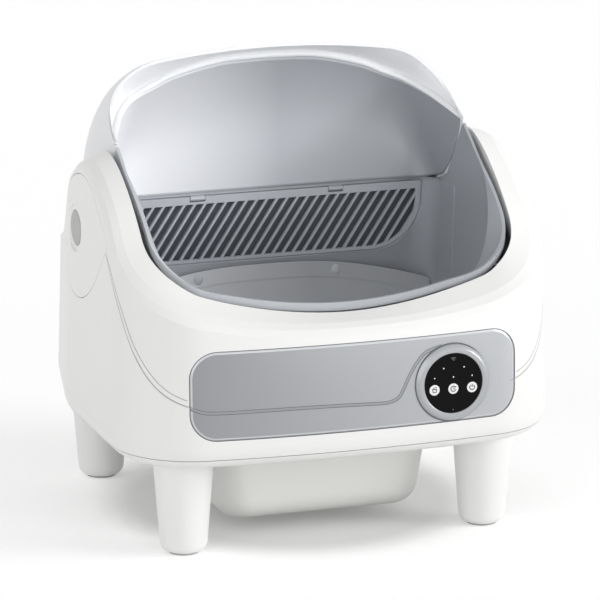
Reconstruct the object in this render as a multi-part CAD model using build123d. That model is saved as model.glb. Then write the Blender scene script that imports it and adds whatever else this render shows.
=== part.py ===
from build123d import *
import os
from math import acos, atan2, cos, pi, radians, sin, sqrt, tan

# Self-cleaning litter box: a drum with a hood turns in a body on four legs and tips its waste
# through the base into a bin that slides out between the legs.
# Millimetres. X right, Y back, Z up, origin on the floor under the middle of the body.

# Body outline, measured at the skirt
BODY_HALF_WIDTH = 277.0
BODY_HALF_DEPTH = 266.0
FRONT_BULGE = 26.0
FRONT_CORNER = 106.0
REAR_BULGE = 6.0
REAR_HALF_WIDTH = 227.0
REAR_CORNER = 80.0
FLANK_TURN_Y = 40.0
FLANK_ROUND = 260.0
DRAFT_DEG = 1.72
BODY_WALL = 4.0
SKIRT_Z = 119.0
SKIRT_ROUND = 26.0
BLOCK_TOP_Z = 480.0
PAN_SEAM_Z = 131.5
PAN_FLOOR = 5.0
SEAM_GAP = 0.8

# Top rim of the body: outer crease heights, and how much higher its inner edge is
RIM_WIDTH = 38.0
RIM_FRONT_Z = 284.0
RIM_FRONT_RISE = 9.0
SHOULDER_Y = -143.0
SHOULDER_Z = 386.0
SHOULDER_RISE = 4.0
TOWER_Y = -10.0
TOWER_Z = 450.0
TOWER_RISE = 12.0
REAR_RIM_Z = 318.0
REAR_RUN = 205.0
RIM_EDGE_WIDTH = 14.0
RIM_EDGE_DROP = 6.0
RIM_FLANGE = 22.0
OPENING_INSET = 44.0
OPENING_REAR_INSET = 22.0
RIM_STATIONS = 45

# Side covers with a release button at each end of the drum's axis
BUTTON_RADIUS = 22.0
BUTTON_GAP = 0.3
BUTTON_TRAVEL = 4.0
BUTTON_SET_IN = 1.2
BUTTON_DEPTH = 9.0
DISH_RADIUS = 29.0
DISH_DEPTH = 2.2
CUP_WALL = 3.0
CUP_FLOOR = 2.0
CUP_SEAT = 0.1
SWITCH_RADIUS = 6.0
SWITCH_HEIGHT = 3.2

# Front panel and touch dial
PANEL_HALF_WIDTH = 206.0
PANEL_LOW_Z = 156.0
PANEL_TOP_Z = 265.0
PANEL_CORNER = 33.0
PANEL_RECESS = 2.0
PANEL_THICK = 1.6
PANEL_GAP = 0.5
GROOVE_WIDTH = 2.2
GROOVE_DEPTH = 0.9
DIAL_X = 120.0
DIAL_Z = 205.0
DIAL_RADIUS = 47.0
DIAL_GLASS_RADIUS = 37.0
DIAL_FACE_Y = -265.0
DIAL_DEPTH = 16.0
DIAL_GAP = 0.2
GLASS_SET_IN = 1.0
GLASS_THICK = 2.5
BOARD_THICK = 1.6

# Legs
LEG_X = 192.0
LEG_Y = 176.0
LEG_TOP_RADIUS = 37.0
LEG_LOW_RADIUS = 29.0
LEG_ROUND = 13.0
LEG_LIFT = 2.0
LEG_WALL = 4.0
PAD_RADIUS = 18.0
PAD_DEPTH = 3.0
CELL_RADIUS = 15.0
CELL_THICK = 6.0
STUD_RADIUS = 5.0
STUD_GAP = 0.2
STUD_LENGTH = 40.0
NUT_RADIUS = 9.0
NUT_THICK = 7.0

# Waste bin and its rails
BIN_HALF_WIDTH = 141.0
BIN_HALF_DEPTH = 150.0
BIN_BOTTOM_Z = 16.0
BIN_TOP_Z = 115.0
BIN_TAPER = 12.0
BIN_CORNER = 40.0
BIN_ROUND = 30.0
BIN_WALL = 2.5
BIN_FLANGE = 7.0
BIN_FLANGE_THICK = 3.0
RAIL_GAP = 0.4
RAIL_WALL = 3.0
RAIL_LIP = 5.0

# Chute through the base
CHUTE_HALF_WIDTH = 124.0
CHUTE_HALF_DEPTH = 120.0
CHUTE_WALL = 3.0
CHUTE_FLARE = 14.0
CHUTE_HEIGHT = 14.0
CHUTE_CORNER = 24.0

# Drum: a barrel about the pivot axis
PIVOT_Y = 14.0
PIVOT_Z = 364.0
DRUM_RADIUS = 208.0
DRUM_HALF_WIDTH = 226.0
DRUM_CROWN = 1000.0
DRUM_CORNER = 90.0
DRUM_WALL = 3.5
DRUM_FIT = 0.4
LIP_INSET = 51.2
LIP_REACH = 48.0
LIP_SLOPE = 0.85
LIP_SIDE_SLOPE = 2.8
LIP_EDGE = 4.0
LIP_FRONT_Z = 303.0
LIP_SHOULDER_Z = 392.0
LIP_HEIGHT = 10.0
HOOD_EDGE_Y = 50.0
HOOD_EDGE_Z = 530.0
MOUTH_END_Y = -20.0
MOUTH_END_Z = 468.0
HOOD_SEAM_Y = 85.0
HOOD_SEAM_Z = 372.0
HOOD_SEAM_REAR_Z = 322.0
BEZEL_DEPTH = 50.0
BEZEL_ARCH_WIDTH = 214.0
BEZEL_ARCH_TOP_Z = 537.0
LINER_THICK = 3.0
LINER_SAG = 26.0

# Sieve and the frame it hangs in
SIEVE_TOP_Y = 80.0
SIEVE_TOP_Z = 376.0
SIEVE_LEAN_DEG = 4.0
SIEVE_HALF_WIDTH = 205.0
SIEVE_HEIGHT = 86.0
SIEVE_CORNER = 65.0
SIEVE_THICK = 4.0
SIEVE_BORDER = 7.0
SIEVE_SHIFT = 3.0
SIEVE_GAP = 0.8
BAR_PITCH = 13.5
BAR_WIDTH = 2.8
BAR_LEAN_DEG = 32.0
FRAME_TOP = 6.0
FRAME_FOOT = 10.0
FRAME_CORNER = 14.0
CLIP_X = 91.0
CLIP_WIDTH = 20.0
CLIP_NOTCH = 7.0
HINGE_DROP = 3.0
HINGE_RADIUS = 1.6
HINGE_FIT = 0.06
CLIP_WALL = 1.4

# Litter mat on the bowl's floor
FLOOR_Y = -66.0
FLOOR_Z = 300.0
FLOOR_RADIUS = 150.0
MAT_THICK = 3.0
MAT_FRONT_Y = 2.0
MAT_REAR_Y = 82.5
SNAP_Y = 80.7
SNAP_RADIUS = 5.0
SNAP_THICK = 1.8
SNAP_LIFT = 0.1

# Drum supports and drive
TRUNNION_FLANGE_RADIUS = 42.0
TRUNNION_FLANGE = 5.0
TRUNNION_RADIUS = 18.0
TRUNNION_END_X = 248.0
RUNNING_FIT = 0.05
BUSH_WALL = 6.0
BUSH_LENGTH = 8.0
BUSH_FIT = 0.1
BRACKET_X = 236.0
BRACKET_THICK = 4.0
BRACKET_HEAD = 38.0
BRACKET_FOOT = 26.0
GEAR_MODULE = 2.5
GEAR_TEETH = 60
PINION_TEETH = 12
PRESSURE_DEG = 25.0
BACKLASH = 0.4
GEAR_WIDTH = 6.0
GEAR_BORE_GAP = 0.3
GEAR_BACK_OFF = 0.6
PINION_ANGLE_DEG = -55.0
PINION_SHAFT = 4.0
GEARBOX_THICK = 12.0
GEARBOX_SIDE = 48.0
MOTOR_RADIUS = 9.0
MOTOR_LENGTH = 58.0
MAGNET_RADIUS = 5.0
MAGNET_THICK = 3.0
MAGNET_ARM = 62.0
MAGNET_ANGLE_DEG = -125.0
SCREW_RADIUS = 2.0
SCREW_HEAD = 4.0
SCREW_HEAD_THICK = 2.5
SCREW_GAP = 0.2

# Electrics in the base
BOARD_WIDTH = 110.0
BOARD_DEPTH = 60.0
BOARD_Y = 188.0
STANDOFF_RADIUS = 4.0
STANDOFF_HEIGHT = 6.0
INLET_X = 110.0
INLET_Z = 165.0
INLET_RADIUS = 6.0
INLET_BORE = 3.0
INLET_LENGTH = 18.0

FAR = 400.0
parts = {}


def side_prism(face, x_low, x_high):
    """Carry an outline drawn in Y and Z along X."""
    return Pos(x_low, 0, 0) * extrude(Plane.YZ * face, amount=x_high - x_low)


def front_prism(face, y_low, y_high):
    """Carry an outline drawn in X and Z along Y."""
    return extrude(Plane.XZ.offset(-y_high) * face, amount=y_high - y_low)


def rod(radius, x_low, x_high, y, z):
    """Round bar along X."""
    return Pos(x_low, y, z) * extrude(Plane.YZ * Circle(radius), amount=x_high - x_low)


def post(radius, z_low, z_high, x, y):
    """Round bar along Z."""
    return Pos(x, y, z_low) * extrude(Circle(radius), amount=z_high - z_low)


def slab(z_low, z_high):
    """Everything between two heights."""
    return Pos(0, 0, (z_low + z_high) / 2) * Box(2 * FAR, 2 * FAR, z_high - z_low)


def mirrored(shape):
    """The same piece on the other side of the middle plane."""
    return mirror(shape, about=Plane.YZ)


def body_outline():
    """Outline of the body from above: bowed front, straight flanks that draw in to the rear."""
    front_y = -BODY_HALF_DEPTH + FRONT_BULGE
    rear_y = BODY_HALF_DEPTH - REAR_BULGE
    width = BODY_HALF_WIDTH
    front = ThreePointArc((-width, front_y), (0, -BODY_HALF_DEPTH), (width, front_y))
    right = Polyline((width, front_y), (width, FLANK_TURN_Y), (REAR_HALF_WIDTH, rear_y))
    rear = ThreePointArc((REAR_HALF_WIDTH, rear_y), (0, BODY_HALF_DEPTH), (-REAR_HALF_WIDTH, rear_y))
    left = Polyline((-REAR_HALF_WIDTH, rear_y), (-width, FLANK_TURN_Y), (-width, front_y))
    face = make_face([front, right, rear, left])
    for corner_y, radius in ((front_y, FRONT_CORNER), (rear_y, REAR_CORNER), (FLANK_TURN_Y, FLANK_ROUND)):
        corners = [v for v in face.vertices() if abs(v.Y - corner_y) < 0.01]
        face = fillet(corners, radius)
    return face


OUTLINE = body_outline()


def inset_outline(inset):
    """The body outline moved inwards."""
    return offset(OUTLINE, amount=-inset) if inset else OUTLINE


def body_block(inset, bottom):
    """Solid of the body's form, drawn in by its draft, with a rounded skirt."""
    block = extrude(Pos(0, 0, bottom) * inset_outline(inset), amount=BLOCK_TOP_Z - bottom, taper=DRAFT_DEG)
    return fillet(block.edges().group_by(Axis.Z)[0], SKIRT_ROUND - inset)


def rim_stations():
    """Points round the outline from the rear middle by the left and the front to the right,
    with the inward direction and the distance from the front middle."""
    wire = OUTLINE.wire()
    found = []
    for index in range(RIM_STATIONS * 2 + 1):
        place = (index + 0.5) / (RIM_STATIONS * 2 + 1)
        point = wire @ place
        along = wire % place
        inward = Vector(-along.Y, along.X, 0)
        if inward.dot(point) > 0:
            inward = inward * -1
        found.append((atan2(point.X, -point.Y), point, inward))
    found.sort(key=lambda item: item[0])
    middle = min(range(len(found)), key=lambda k: abs(found[k][0]))
    lengths = [0.0]
    for k in range(1, len(found)):
        lengths.append(lengths[-1] + (found[k][1] - found[k - 1][1]).length)
    start = lengths[middle] - found[middle][1].X
    return [(point, inward, abs(run - start)) for (angle, point, inward), run in zip(found, lengths)]


STATIONS = rim_stations()
SHOULDER_RUN = min(STATIONS, key=lambda item: abs(item[0].Y - SHOULDER_Y) + (item[0].X < 0) * FAR)[2]


def rim_heights(point, run):
    """Outer and inner height of the body's rim: low in front, up to a tower at each side, low behind."""
    if point.Y < SHOULDER_Y:
        share = min(1.0, run / SHOULDER_RUN)
        outer = RIM_FRONT_Z + (SHOULDER_Z - RIM_FRONT_Z) * share ** 3
        low = RIM_FRONT_Z + RIM_FRONT_RISE
        return outer, low + (SHOULDER_Z + SHOULDER_RISE - low) * share ** 1.9
    if point.Y < TOWER_Y:
        share = (point.Y - SHOULDER_Y) / (TOWER_Y - SHOULDER_Y)
        outer = SHOULDER_Z + (TOWER_Z - SHOULDER_Z) * sin(pi / 2 * share)
        return outer, outer + SHOULDER_RISE + (TOWER_RISE - SHOULDER_RISE) * share
    fall = cos(pi / 2 * min(1.0, (point.Y - TOWER_Y) / REAR_RUN)) ** 2
    outer = REAR_RIM_Z + (TOWER_Z - REAR_RIM_Z) * fall
    return outer, outer + SHOULDER_RISE + (TOWER_RISE - SHOULDER_RISE) * fall


def rim_section(point, inward, run):
    """Section of the space above the rim, across the rim at one place."""
    outer, inner = rim_heights(point, run)
    draw_in = (outer - SKIRT_Z) * tan(radians(DRAFT_DEG))
    corners = []
    for depth in (-RIM_EDGE_WIDTH, RIM_EDGE_WIDTH / 3, RIM_EDGE_WIDTH, RIM_WIDTH * 1.6):
        drop = RIM_EDGE_DROP * max(0.0, 1 - depth / RIM_EDGE_WIDTH) ** 2
        height = outer + (inner - outer) * depth / RIM_WIDTH - drop
        corners.append(point + inward * (depth + draw_in) + Vector(0, 0, height))
    corners.append(Vector(corners[-1].X, corners[-1].Y, BLOCK_TOP_Z + RIM_WIDTH))
    corners.append(Vector(corners[0].X, corners[0].Y, BLOCK_TOP_Z + RIM_WIDTH))
    return Face(Polyline(*corners, close=True).wire())


RIM_SPACE = loft([rim_section(*station) for station in STATIONS[::2]])
REAR_SPAN = 2 * (STATIONS[-1][0] - STATIONS[0][0]).length
REAR_MIDDLE = Vector(-REAR_SPAN / 2, BODY_HALF_DEPTH + SEAM_GAP / 8, -SEAM_GAP / 16)
REAR_JOIN = extrude(rim_section(REAR_MIDDLE, Vector(0, -1, 0), FAR), amount=REAR_SPAN, dir=(1, 0, 0))


def above_rim(lowered):
    """Everything above the rim's surface, moved down by the given amount."""
    return Pos(0, 0, -lowered) * (RIM_SPACE + REAR_JOIN)


def opening(grow):
    """The body's opening from above, wider behind where the drum's barrel comes close."""
    front = inset_outline(OPENING_INSET - grow) & Pos(0, -FAR / 2) * Rectangle(2 * FAR, FAR)
    limit = 2 * (BODY_HALF_WIDTH - OPENING_INSET + grow)
    rear = inset_outline(OPENING_REAR_INSET - grow) & Pos(0, FAR / 2) * Rectangle(limit, FAR)
    return front + rear


# Body shell, then its covers cut from it
def body_shell():
    outer = body_block(0, SKIRT_Z) - above_rim(0)
    inner = body_block(BODY_WALL, SKIRT_Z - SKIRT_ROUND) - above_rim(BODY_WALL)
    hole = Pos(0, 0, PAN_SEAM_Z) * extrude(opening(0), amount=FAR)
    collar = Pos(0, 0, PAN_SEAM_Z) * extrude(opening(BODY_WALL) - opening(0), amount=FAR)
    collar = (collar & above_rim(RIM_FLANGE)) - above_rim(0)
    return (outer - inner - hole) + (collar & outer)


def front_region(grow):
    """Side view of the front cover: over the shoulder seam, down the flank and round the corner."""
    seam = Spline((-120, 364), (-146, 337), (-171, 306), (-198, 260), (-225, 221), (-246, 200), (-290, 186))
    rest = Polyline((-290, 186), (-FAR, 186), (-FAR, 520), (SHOULDER_Y, 520), (SHOULDER_Y, 388), (-120, 364))
    return Pos(grow * 0.8, -grow * 0.8) * make_face([seam, rest])


def rear_region(grow):
    """Side view of the rear cover: both towers and the rear rim."""
    points = ((SHOULDER_Y, 520), (SHOULDER_Y, 388), (-120, 364), (-60, 335), (90, 335), (130, 296))
    return Pos(0, -grow) * make_face(Polyline(*points, (FAR, 296), (FAR, 520), close=True))


def shield_region(grow):
    """Egg-shaped side cover round the drum's axis, under the tower's crease."""
    points = ((-122, 366), (-97, 338), (-50, 297), (-8, 283), (35, 292), (72, 325), (88, 360))
    points += ((66, 393), (20, 428), (-30, 435), (-65, 421), (-96, 396))
    grown = []
    for y, z in points:
        reach = sqrt((y - PIVOT_Y) ** 2 + (z - PIVOT_Z) ** 2)
        grown.append((y + (y - PIVOT_Y) * grow / reach, z + (z - PIVOT_Z) * grow / reach))
    return make_face(Spline(*grown, periodic=True))


def panel_region(gap):
    """Front view of the grey panel."""
    height = PANEL_TOP_Z - PANEL_LOW_Z - 2 * gap
    middle = (PANEL_TOP_Z + PANEL_LOW_Z) / 2
    return Pos(0, middle) * RectangleRounded(2 * (PANEL_HALF_WIDTH - gap), height, PANEL_CORNER - gap)


def wall_x(z):
    """Outside of the body's flank at a height."""
    return BODY_HALF_WIDTH - (z - SKIRT_Z) * tan(radians(DRAFT_DEG))


shell = body_shell()
flush = body_block(0, SKIRT_Z)
core = body_block(BODY_WALL, SKIRT_Z - SKIRT_ROUND)
shields = side_prism(shield_region(SEAM_GAP), -FAR, -LEG_X) + side_prism(shield_region(SEAM_GAP), LEG_X, FAR)
recess = front_prism(panel_region(0), -FAR, -LEG_Y) - body_block(PANEL_RECESS, SKIRT_Z)
dial_hole = front_prism(Pos(DIAL_X, DIAL_Z) * Circle(DIAL_RADIUS + DIAL_GAP), -FAR, -LEG_Y)
inlet_hole = front_prism(Pos(INLET_X, INLET_Z) * Circle(INLET_RADIUS + DIAL_GAP), LEG_Y, FAR)

front_cut = side_prism(front_region(0), -FAR, FAR)
rear_cut = side_prism(rear_region(0), -FAR, FAR)
plain = shell - shields - recess - dial_hole
parts["front_upper_cover"] = plain & front_cut
plain = plain - side_prism(front_region(SEAM_GAP), -FAR, FAR)
parts["rear_upper_cover"] = plain & rear_cut
plain = plain - side_prism(rear_region(SEAM_GAP), -FAR, FAR) - inlet_hole
parts["lower_body"] = plain & slab(PAN_SEAM_Z + SEAM_GAP, BLOCK_TOP_Z)

# Base pan with the chute opening and the leg holes
pan = (flush - body_block(PAN_FLOOR, SKIRT_Z + PAN_FLOOR)) & slab(SKIRT_Z, PAN_SEAM_Z)
chute_hole = RectangleRounded(2 * CHUTE_HALF_WIDTH, 2 * CHUTE_HALF_DEPTH, CHUTE_CORNER)
pan = pan - Pos(0, 0, SKIRT_Z - PAN_FLOOR) * extrude(chute_hole, amount=4 * PAN_FLOOR)
leg_places = {
    "front_left": (-LEG_X, -LEG_Y),
    "front_right": (LEG_X, -LEG_Y),
    "rear_left": (-LEG_X, LEG_Y),
    "rear_right": (LEG_X, LEG_Y),
}
for x, y in leg_places.values():
    pan = pan - post(STUD_RADIUS + STUD_GAP, 0, PAN_SEAM_Z, x, y)

# Chute: a flared frame that stands on the pan's floor
chute_foot = SKIRT_Z + PAN_FLOOR
chute_low = RectangleRounded(2 * CHUTE_HALF_WIDTH, 2 * CHUTE_HALF_DEPTH, CHUTE_CORNER)
chute_outer = loft([
    Pos(0, 0, chute_foot) * offset(chute_low, amount=CHUTE_WALL),
    Pos(0, 0, chute_foot + CHUTE_HEIGHT) * offset(chute_low, amount=CHUTE_WALL + CHUTE_FLARE),
], ruled=True)
chute_inner = loft([
    Pos(0, 0, chute_foot) * chute_low,
    Pos(0, 0, chute_foot + CHUTE_HEIGHT) * offset(chute_low, amount=CHUTE_FLARE),
], ruled=True)
parts["waste_chute"] = chute_outer - chute_inner

# Legs, each with a stud, a nut, a foot pad and a load cell under its floor
leg_top_z = SKIRT_Z + PAN_FLOOR
leg_profile = make_face([
    Line((0, LEG_LIFT), (LEG_LOW_RADIUS - LEG_ROUND, LEG_LIFT)),
    RadiusArc((LEG_LOW_RADIUS - LEG_ROUND, LEG_LIFT), (LEG_LOW_RADIUS, LEG_LIFT + LEG_ROUND), -LEG_ROUND),
    Polyline((LEG_LOW_RADIUS, LEG_LIFT + LEG_ROUND), (LEG_TOP_RADIUS, SKIRT_Z), (LEG_TOP_RADIUS, leg_top_z)),
    Polyline((LEG_TOP_RADIUS, leg_top_z), (0, leg_top_z), (0, LEG_LIFT)),
])
leg_solid = revolve(Plane.XZ * leg_profile, axis=Axis.Z)
cell_low_z = LEG_LIFT + PAD_DEPTH
cell_top_z = cell_low_z + CELL_THICK
stud_low_z = leg_top_z + NUT_THICK + STUD_GAP - STUD_LENGTH
pad_hole = post(PAD_RADIUS - LEG_WALL / 2 + DIAL_GAP, 0, cell_low_z, 0, 0)
cell_hole = post(CELL_RADIUS + DIAL_GAP, cell_low_z, cell_top_z + STUD_GAP, 0, 0)
hollow = post(LEG_LOW_RADIUS - LEG_WALL, cell_top_z + LEG_WALL, stud_low_z - LEG_WALL, 0, 0)
stud_hole = post(STUD_RADIUS + STUD_GAP, stud_low_z, FAR, 0, 0)
leg_solid = leg_solid - pad_hole - cell_hole - hollow - stud_hole
pad_foot = post(PAD_RADIUS, 0, LEG_LIFT, 0, 0)
pad_neck = post(PAD_RADIUS - LEG_WALL / 2, LEG_LIFT, cell_low_z, 0, 0)
stud_set = []
nut_set = []
for corner, (x, y) in leg_places.items():
    parts[f"leg_{corner}"] = (Pos(x, y, 0) * leg_solid) - flush
    parts[f"foot_pad_{corner}"] = Pos(x, y, 0) * (pad_foot + pad_neck)
    parts[f"load_cell_{corner}"] = post(CELL_RADIUS, cell_low_z, cell_top_z, x, y)
    stud_set.append(post(STUD_RADIUS, stud_low_z, stud_low_z + STUD_LENGTH, x, y))
    nut = extrude(RegularPolygon(NUT_RADIUS, 6) - Circle(STUD_RADIUS + STUD_GAP), amount=NUT_THICK)
    nut_set.append(Pos(x, y, leg_top_z) * nut)
parts["leg_studs"] = Compound(children=stud_set)
parts["leg_nuts"] = Compound(children=nut_set)

# Waste bin with a flange that runs in two rails
def bin_form(inset, low, high, rounding):
    """Tapered tub with rounded corners."""
    foot = RectangleRounded(
        2 * (BIN_HALF_WIDTH - BIN_TAPER - inset), 2 * (BIN_HALF_DEPTH - BIN_TAPER - inset), BIN_CORNER - inset)
    mouth = RectangleRounded(2 * (BIN_HALF_WIDTH - inset), 2 * (BIN_HALF_DEPTH - inset), BIN_CORNER - inset)
    tub = loft([Pos(0, 0, low) * foot, Pos(0, 0, high) * mouth], ruled=True)
    return fillet(tub.edges().group_by(Axis.Z)[0], rounding)


bin_flange_low = BIN_TOP_Z - BIN_FLANGE_THICK
flange_face = Rectangle(2 * (BIN_HALF_WIDTH + BIN_FLANGE), 2 * BIN_HALF_DEPTH - 2 * BIN_CORNER)
bin_flange = Pos(0, 0, bin_flange_low) * extrude(flange_face, amount=BIN_FLANGE_THICK)
bin_solid = bin_form(0, BIN_BOTTOM_Z, BIN_TOP_Z, BIN_ROUND) + bin_flange
parts["waste_bin"] = bin_solid - bin_form(BIN_WALL, BIN_BOTTOM_Z + BIN_WALL, BIN_TOP_Z, BIN_ROUND - BIN_WALL)
rail_wall_x = BIN_HALF_WIDTH + BIN_FLANGE + RAIL_GAP
rail_lip_top = bin_flange_low - RAIL_GAP
rail_face = make_face(Polyline(
    (rail_wall_x - RAIL_LIP, rail_lip_top), (rail_wall_x, rail_lip_top), (rail_wall_x, SKIRT_Z),
    (rail_wall_x + RAIL_WALL, SKIRT_Z), (rail_wall_x + RAIL_WALL, rail_lip_top - RAIL_WALL),
    (rail_wall_x - RAIL_LIP, rail_lip_top - RAIL_WALL), close=True))
parts["bin_rail_right"] = front_prism(rail_face, -BIN_HALF_DEPTH, BIN_HALF_DEPTH)
parts["bin_rail_left"] = mirrored(parts["bin_rail_right"])

# Front panel with its groove, and the touch dial in it
panel = front_prism(panel_region(PANEL_GAP), -FAR, -LEG_Y) & (
    body_block(PANEL_RECESS - PANEL_THICK, SKIRT_Z) - body_block(PANEL_RECESS, SKIRT_Z))
sweep_radius = DIAL_RADIUS + 3 * GROOVE_WIDTH
groove_line = Spline(
    (-PANEL_HALF_WIDTH - GROOVE_WIDTH, 198), (-170, 189), (-60, 186), (38, 187), (62, 203),
    (DIAL_X - 0.85 * sweep_radius, DIAL_Z + 0.53 * sweep_radius), (DIAL_X - 12, DIAL_Z + DIAL_RADIUS))
groove = front_prism(trace(groove_line, line_width=GROOVE_WIDTH), -FAR, -LEG_Y)
panel = panel - (groove - body_block(PANEL_RECESS - PANEL_THICK + GROOVE_DEPTH, SKIRT_Z))
parts["front_panel"] = panel - dial_hole
dial_spot = Pos(DIAL_X, DIAL_Z)
ring = front_prism(dial_spot * Circle(DIAL_RADIUS), DIAL_FACE_Y, DIAL_FACE_Y + DIAL_DEPTH)
ring = chamfer(ring.edges().group_by(Axis.Y)[0], 2 * GROOVE_WIDTH)
well = front_prism(dial_spot * Circle(DIAL_GLASS_RADIUS), DIAL_FACE_Y, DIAL_FACE_Y + DIAL_DEPTH)
parts["dial_bezel"] = ring - well
glass_y = DIAL_FACE_Y + GLASS_SET_IN
glass_face = dial_spot * Circle(DIAL_GLASS_RADIUS - DIAL_GAP)
parts["touch_glass"] = front_prism(glass_face, glass_y, glass_y + GLASS_THICK)
board_y = glass_y + GLASS_THICK + DIAL_GAP
parts["touch_board"] = front_prism(glass_face, board_y, board_y + BOARD_THICK)

# Side covers, release buttons, their cups and the switches behind them
button_face_x = wall_x(PIVOT_Z) - BUTTON_SET_IN
button_back_x = button_face_x - BUTTON_DEPTH
cup_floor_x = button_back_x - BUTTON_TRAVEL - BUTTON_GAP - SWITCH_HEIGHT
shield = (flush & side_prism(shield_region(0), LEG_X, FAR)) - core
shield = shield - rod(DISH_RADIUS, wall_x(PIVOT_Z) - DISH_DEPTH, FAR, PIVOT_Y, PIVOT_Z)
shield = shield - rod(BUTTON_RADIUS + BUTTON_GAP, LEG_X, FAR, PIVOT_Y, PIVOT_Z)
button = rod(BUTTON_RADIUS, button_back_x, button_face_x, PIVOT_Y, PIVOT_Z)
button = fillet(button.edges().group_by(Axis.X)[-1], GROOVE_WIDTH)
cup = rod(BUTTON_RADIUS + BUTTON_GAP + CUP_WALL, cup_floor_x - CUP_FLOOR, FAR, PIVOT_Y, PIVOT_Z)
cup = cup & (Pos(-CUP_SEAT, 0, 0) * core)
cup = cup - rod(BUTTON_RADIUS + BUTTON_GAP, cup_floor_x, FAR, PIVOT_Y, PIVOT_Z)
switch_top_x = button_back_x - BUTTON_TRAVEL - BUTTON_GAP
switch = rod(SWITCH_RADIUS, cup_floor_x, switch_top_x, PIVOT_Y, PIVOT_Z)
for name, shape in (("side_cover", shield), ("release_button", button), ("button_cup", cup), ("button_switch", switch)):
    parts[f"{name}_right"] = shape
    parts[f"{name}_left"] = mirrored(shape)


# Drum
def barrel(inset):
    """Barrel about the pivot axis, drawn in by the inset."""
    half = DRUM_HALF_WIDTH - inset
    radius = DRUM_RADIUS - inset
    edge = radius - half ** 2 / (2 * DRUM_CROWN)
    face = make_face([
        ThreePointArc((-half, edge), (0, radius), (half, edge)),
        Polyline((half, edge), (half, 0), (-half, 0), (-half, edge)),
    ])
    face = fillet([v for v in face.vertices() if v.Y > 1], DRUM_CORNER - inset)
    return Pos(0, PIVOT_Y, PIVOT_Z) * revolve(face, axis=Axis.X)


def lip_space(lowered, edge):
    """The space over the bowl's lip, which follows the body's rim a little higher: level over the
    edge's width, then down to the drum's wall, steeper at the sides. Lowered, it ends a little earlier."""
    reach = LIP_REACH - lowered / 4
    cap_z = BLOCK_TOP_Z + FAR / 4 - lowered
    sections = []
    for point, inward, run in STATIONS[::2]:
        if point.Y > RIM_WIDTH:
            continue
        if point.Y < SHOULDER_Y:
            share = min(1.0, run / SHOULDER_RUN)
            height = LIP_FRONT_Z + (LIP_SHOULDER_Z - LIP_FRONT_Z) * share ** 1.9
        else:
            share = (point.Y - SHOULDER_Y) / (MOUTH_END_Y - SHOULDER_Y)
            height = LIP_SHOULDER_Z + (MOUTH_END_Z - LIP_SHOULDER_Z) * share
        steep = LIP_SLOPE + (LIP_SIDE_SLOPE - LIP_SLOPE) * min(1.0, run / SHOULDER_RUN) ** 6
        corners = []
        for depth, fall in ((lowered / 4 - LIP_HEIGHT, 0), (edge, 0), (reach, (reach - edge) * steep)):
            corners.append(point + inward * (LIP_INSET + depth) + Vector(0, 0, height - lowered - fall))
        corners.append(Vector(corners[-1].X, corners[-1].Y, cap_z))
        corners.append(Vector(corners[0].X, corners[0].Y, cap_z))
        sections.append(Face(Polyline(*corners, close=True).wire()))
    return loft(sections)


def mouth_region():
    """Side view of what is open above the bowl in front of the hood's edge."""
    curve = Spline((HOOD_EDGE_Y, HOOD_EDGE_Z), (33, 508), (MOUTH_END_Y, MOUTH_END_Z))
    rest = Polyline((MOUTH_END_Y, MOUTH_END_Z), (SHOULDER_Y, LIP_SHOULDER_Z), (-FAR, LIP_SHOULDER_Z),
                    (-FAR, 2 * FAR), (HOOD_EDGE_Y, 2 * FAR), (HOOD_EDGE_Y, HOOD_EDGE_Z))
    return make_face([curve, rest])


def hood_region(grow):
    """Side view of the hood: everything above the seam between bowl and hood."""
    points = ((MOUTH_END_Y, MOUTH_END_Z), (34, 394), (HOOD_SEAM_Y, HOOD_SEAM_Z), (FAR, HOOD_SEAM_REAR_Z))
    face = make_face(Polyline(*points, (FAR, 2 * FAR), (MOUTH_END_Y, 2 * FAR), close=True))
    return Pos(-grow * 0.8, -grow * 0.8) * face


cavity = barrel(DRUM_WALL)
inside = barrel(DRUM_WALL + DRUM_FIT)
drum_skin = barrel(0) - cavity - side_prism(mouth_region(), -FAR, FAR)
parts["hood_shell"] = drum_skin & side_prism(hood_region(0), -FAR, FAR)
lip_top = lip_space(0, LIP_EDGE)
lip_ring = Pos(0, 0, SKIRT_Z) * extrude(inset_outline(LIP_INSET), amount=FAR)
lip_ring = (lip_ring & lip_space(LIP_HEIGHT, LIP_EDGE + SEAM_GAP)) - lip_top - cavity
lip_ring = lip_ring - side_prism(hood_region(DRUM_FIT), -FAR, FAR) - side_prism(mouth_region(), -FAR, FAR)
parts["bowl"] = (drum_skin - lip_top - side_prism(hood_region(DRUM_FIT), -FAR, FAR)) + lip_ring


# Hood bezel: a crescent that leads from the hood's edge to the rounder arch of the liner
def arch(half_width, foot_z, top_z, power):
    """Arch outline in X and Z, a superellipse on two short legs."""
    rise = top_z - foot_z
    points = []
    for step in range(13):
        across = -cos(pi * step / 12)
        points.append((half_width * across, foot_z + rise * (1 - abs(across) ** power) ** (1 / power)))
    base_z = foot_z - RIM_WIDTH
    legs = Polyline(points[-1], (half_width, base_z), (-half_width, base_z), points[0])
    return make_face([Spline(*points), legs])


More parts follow.
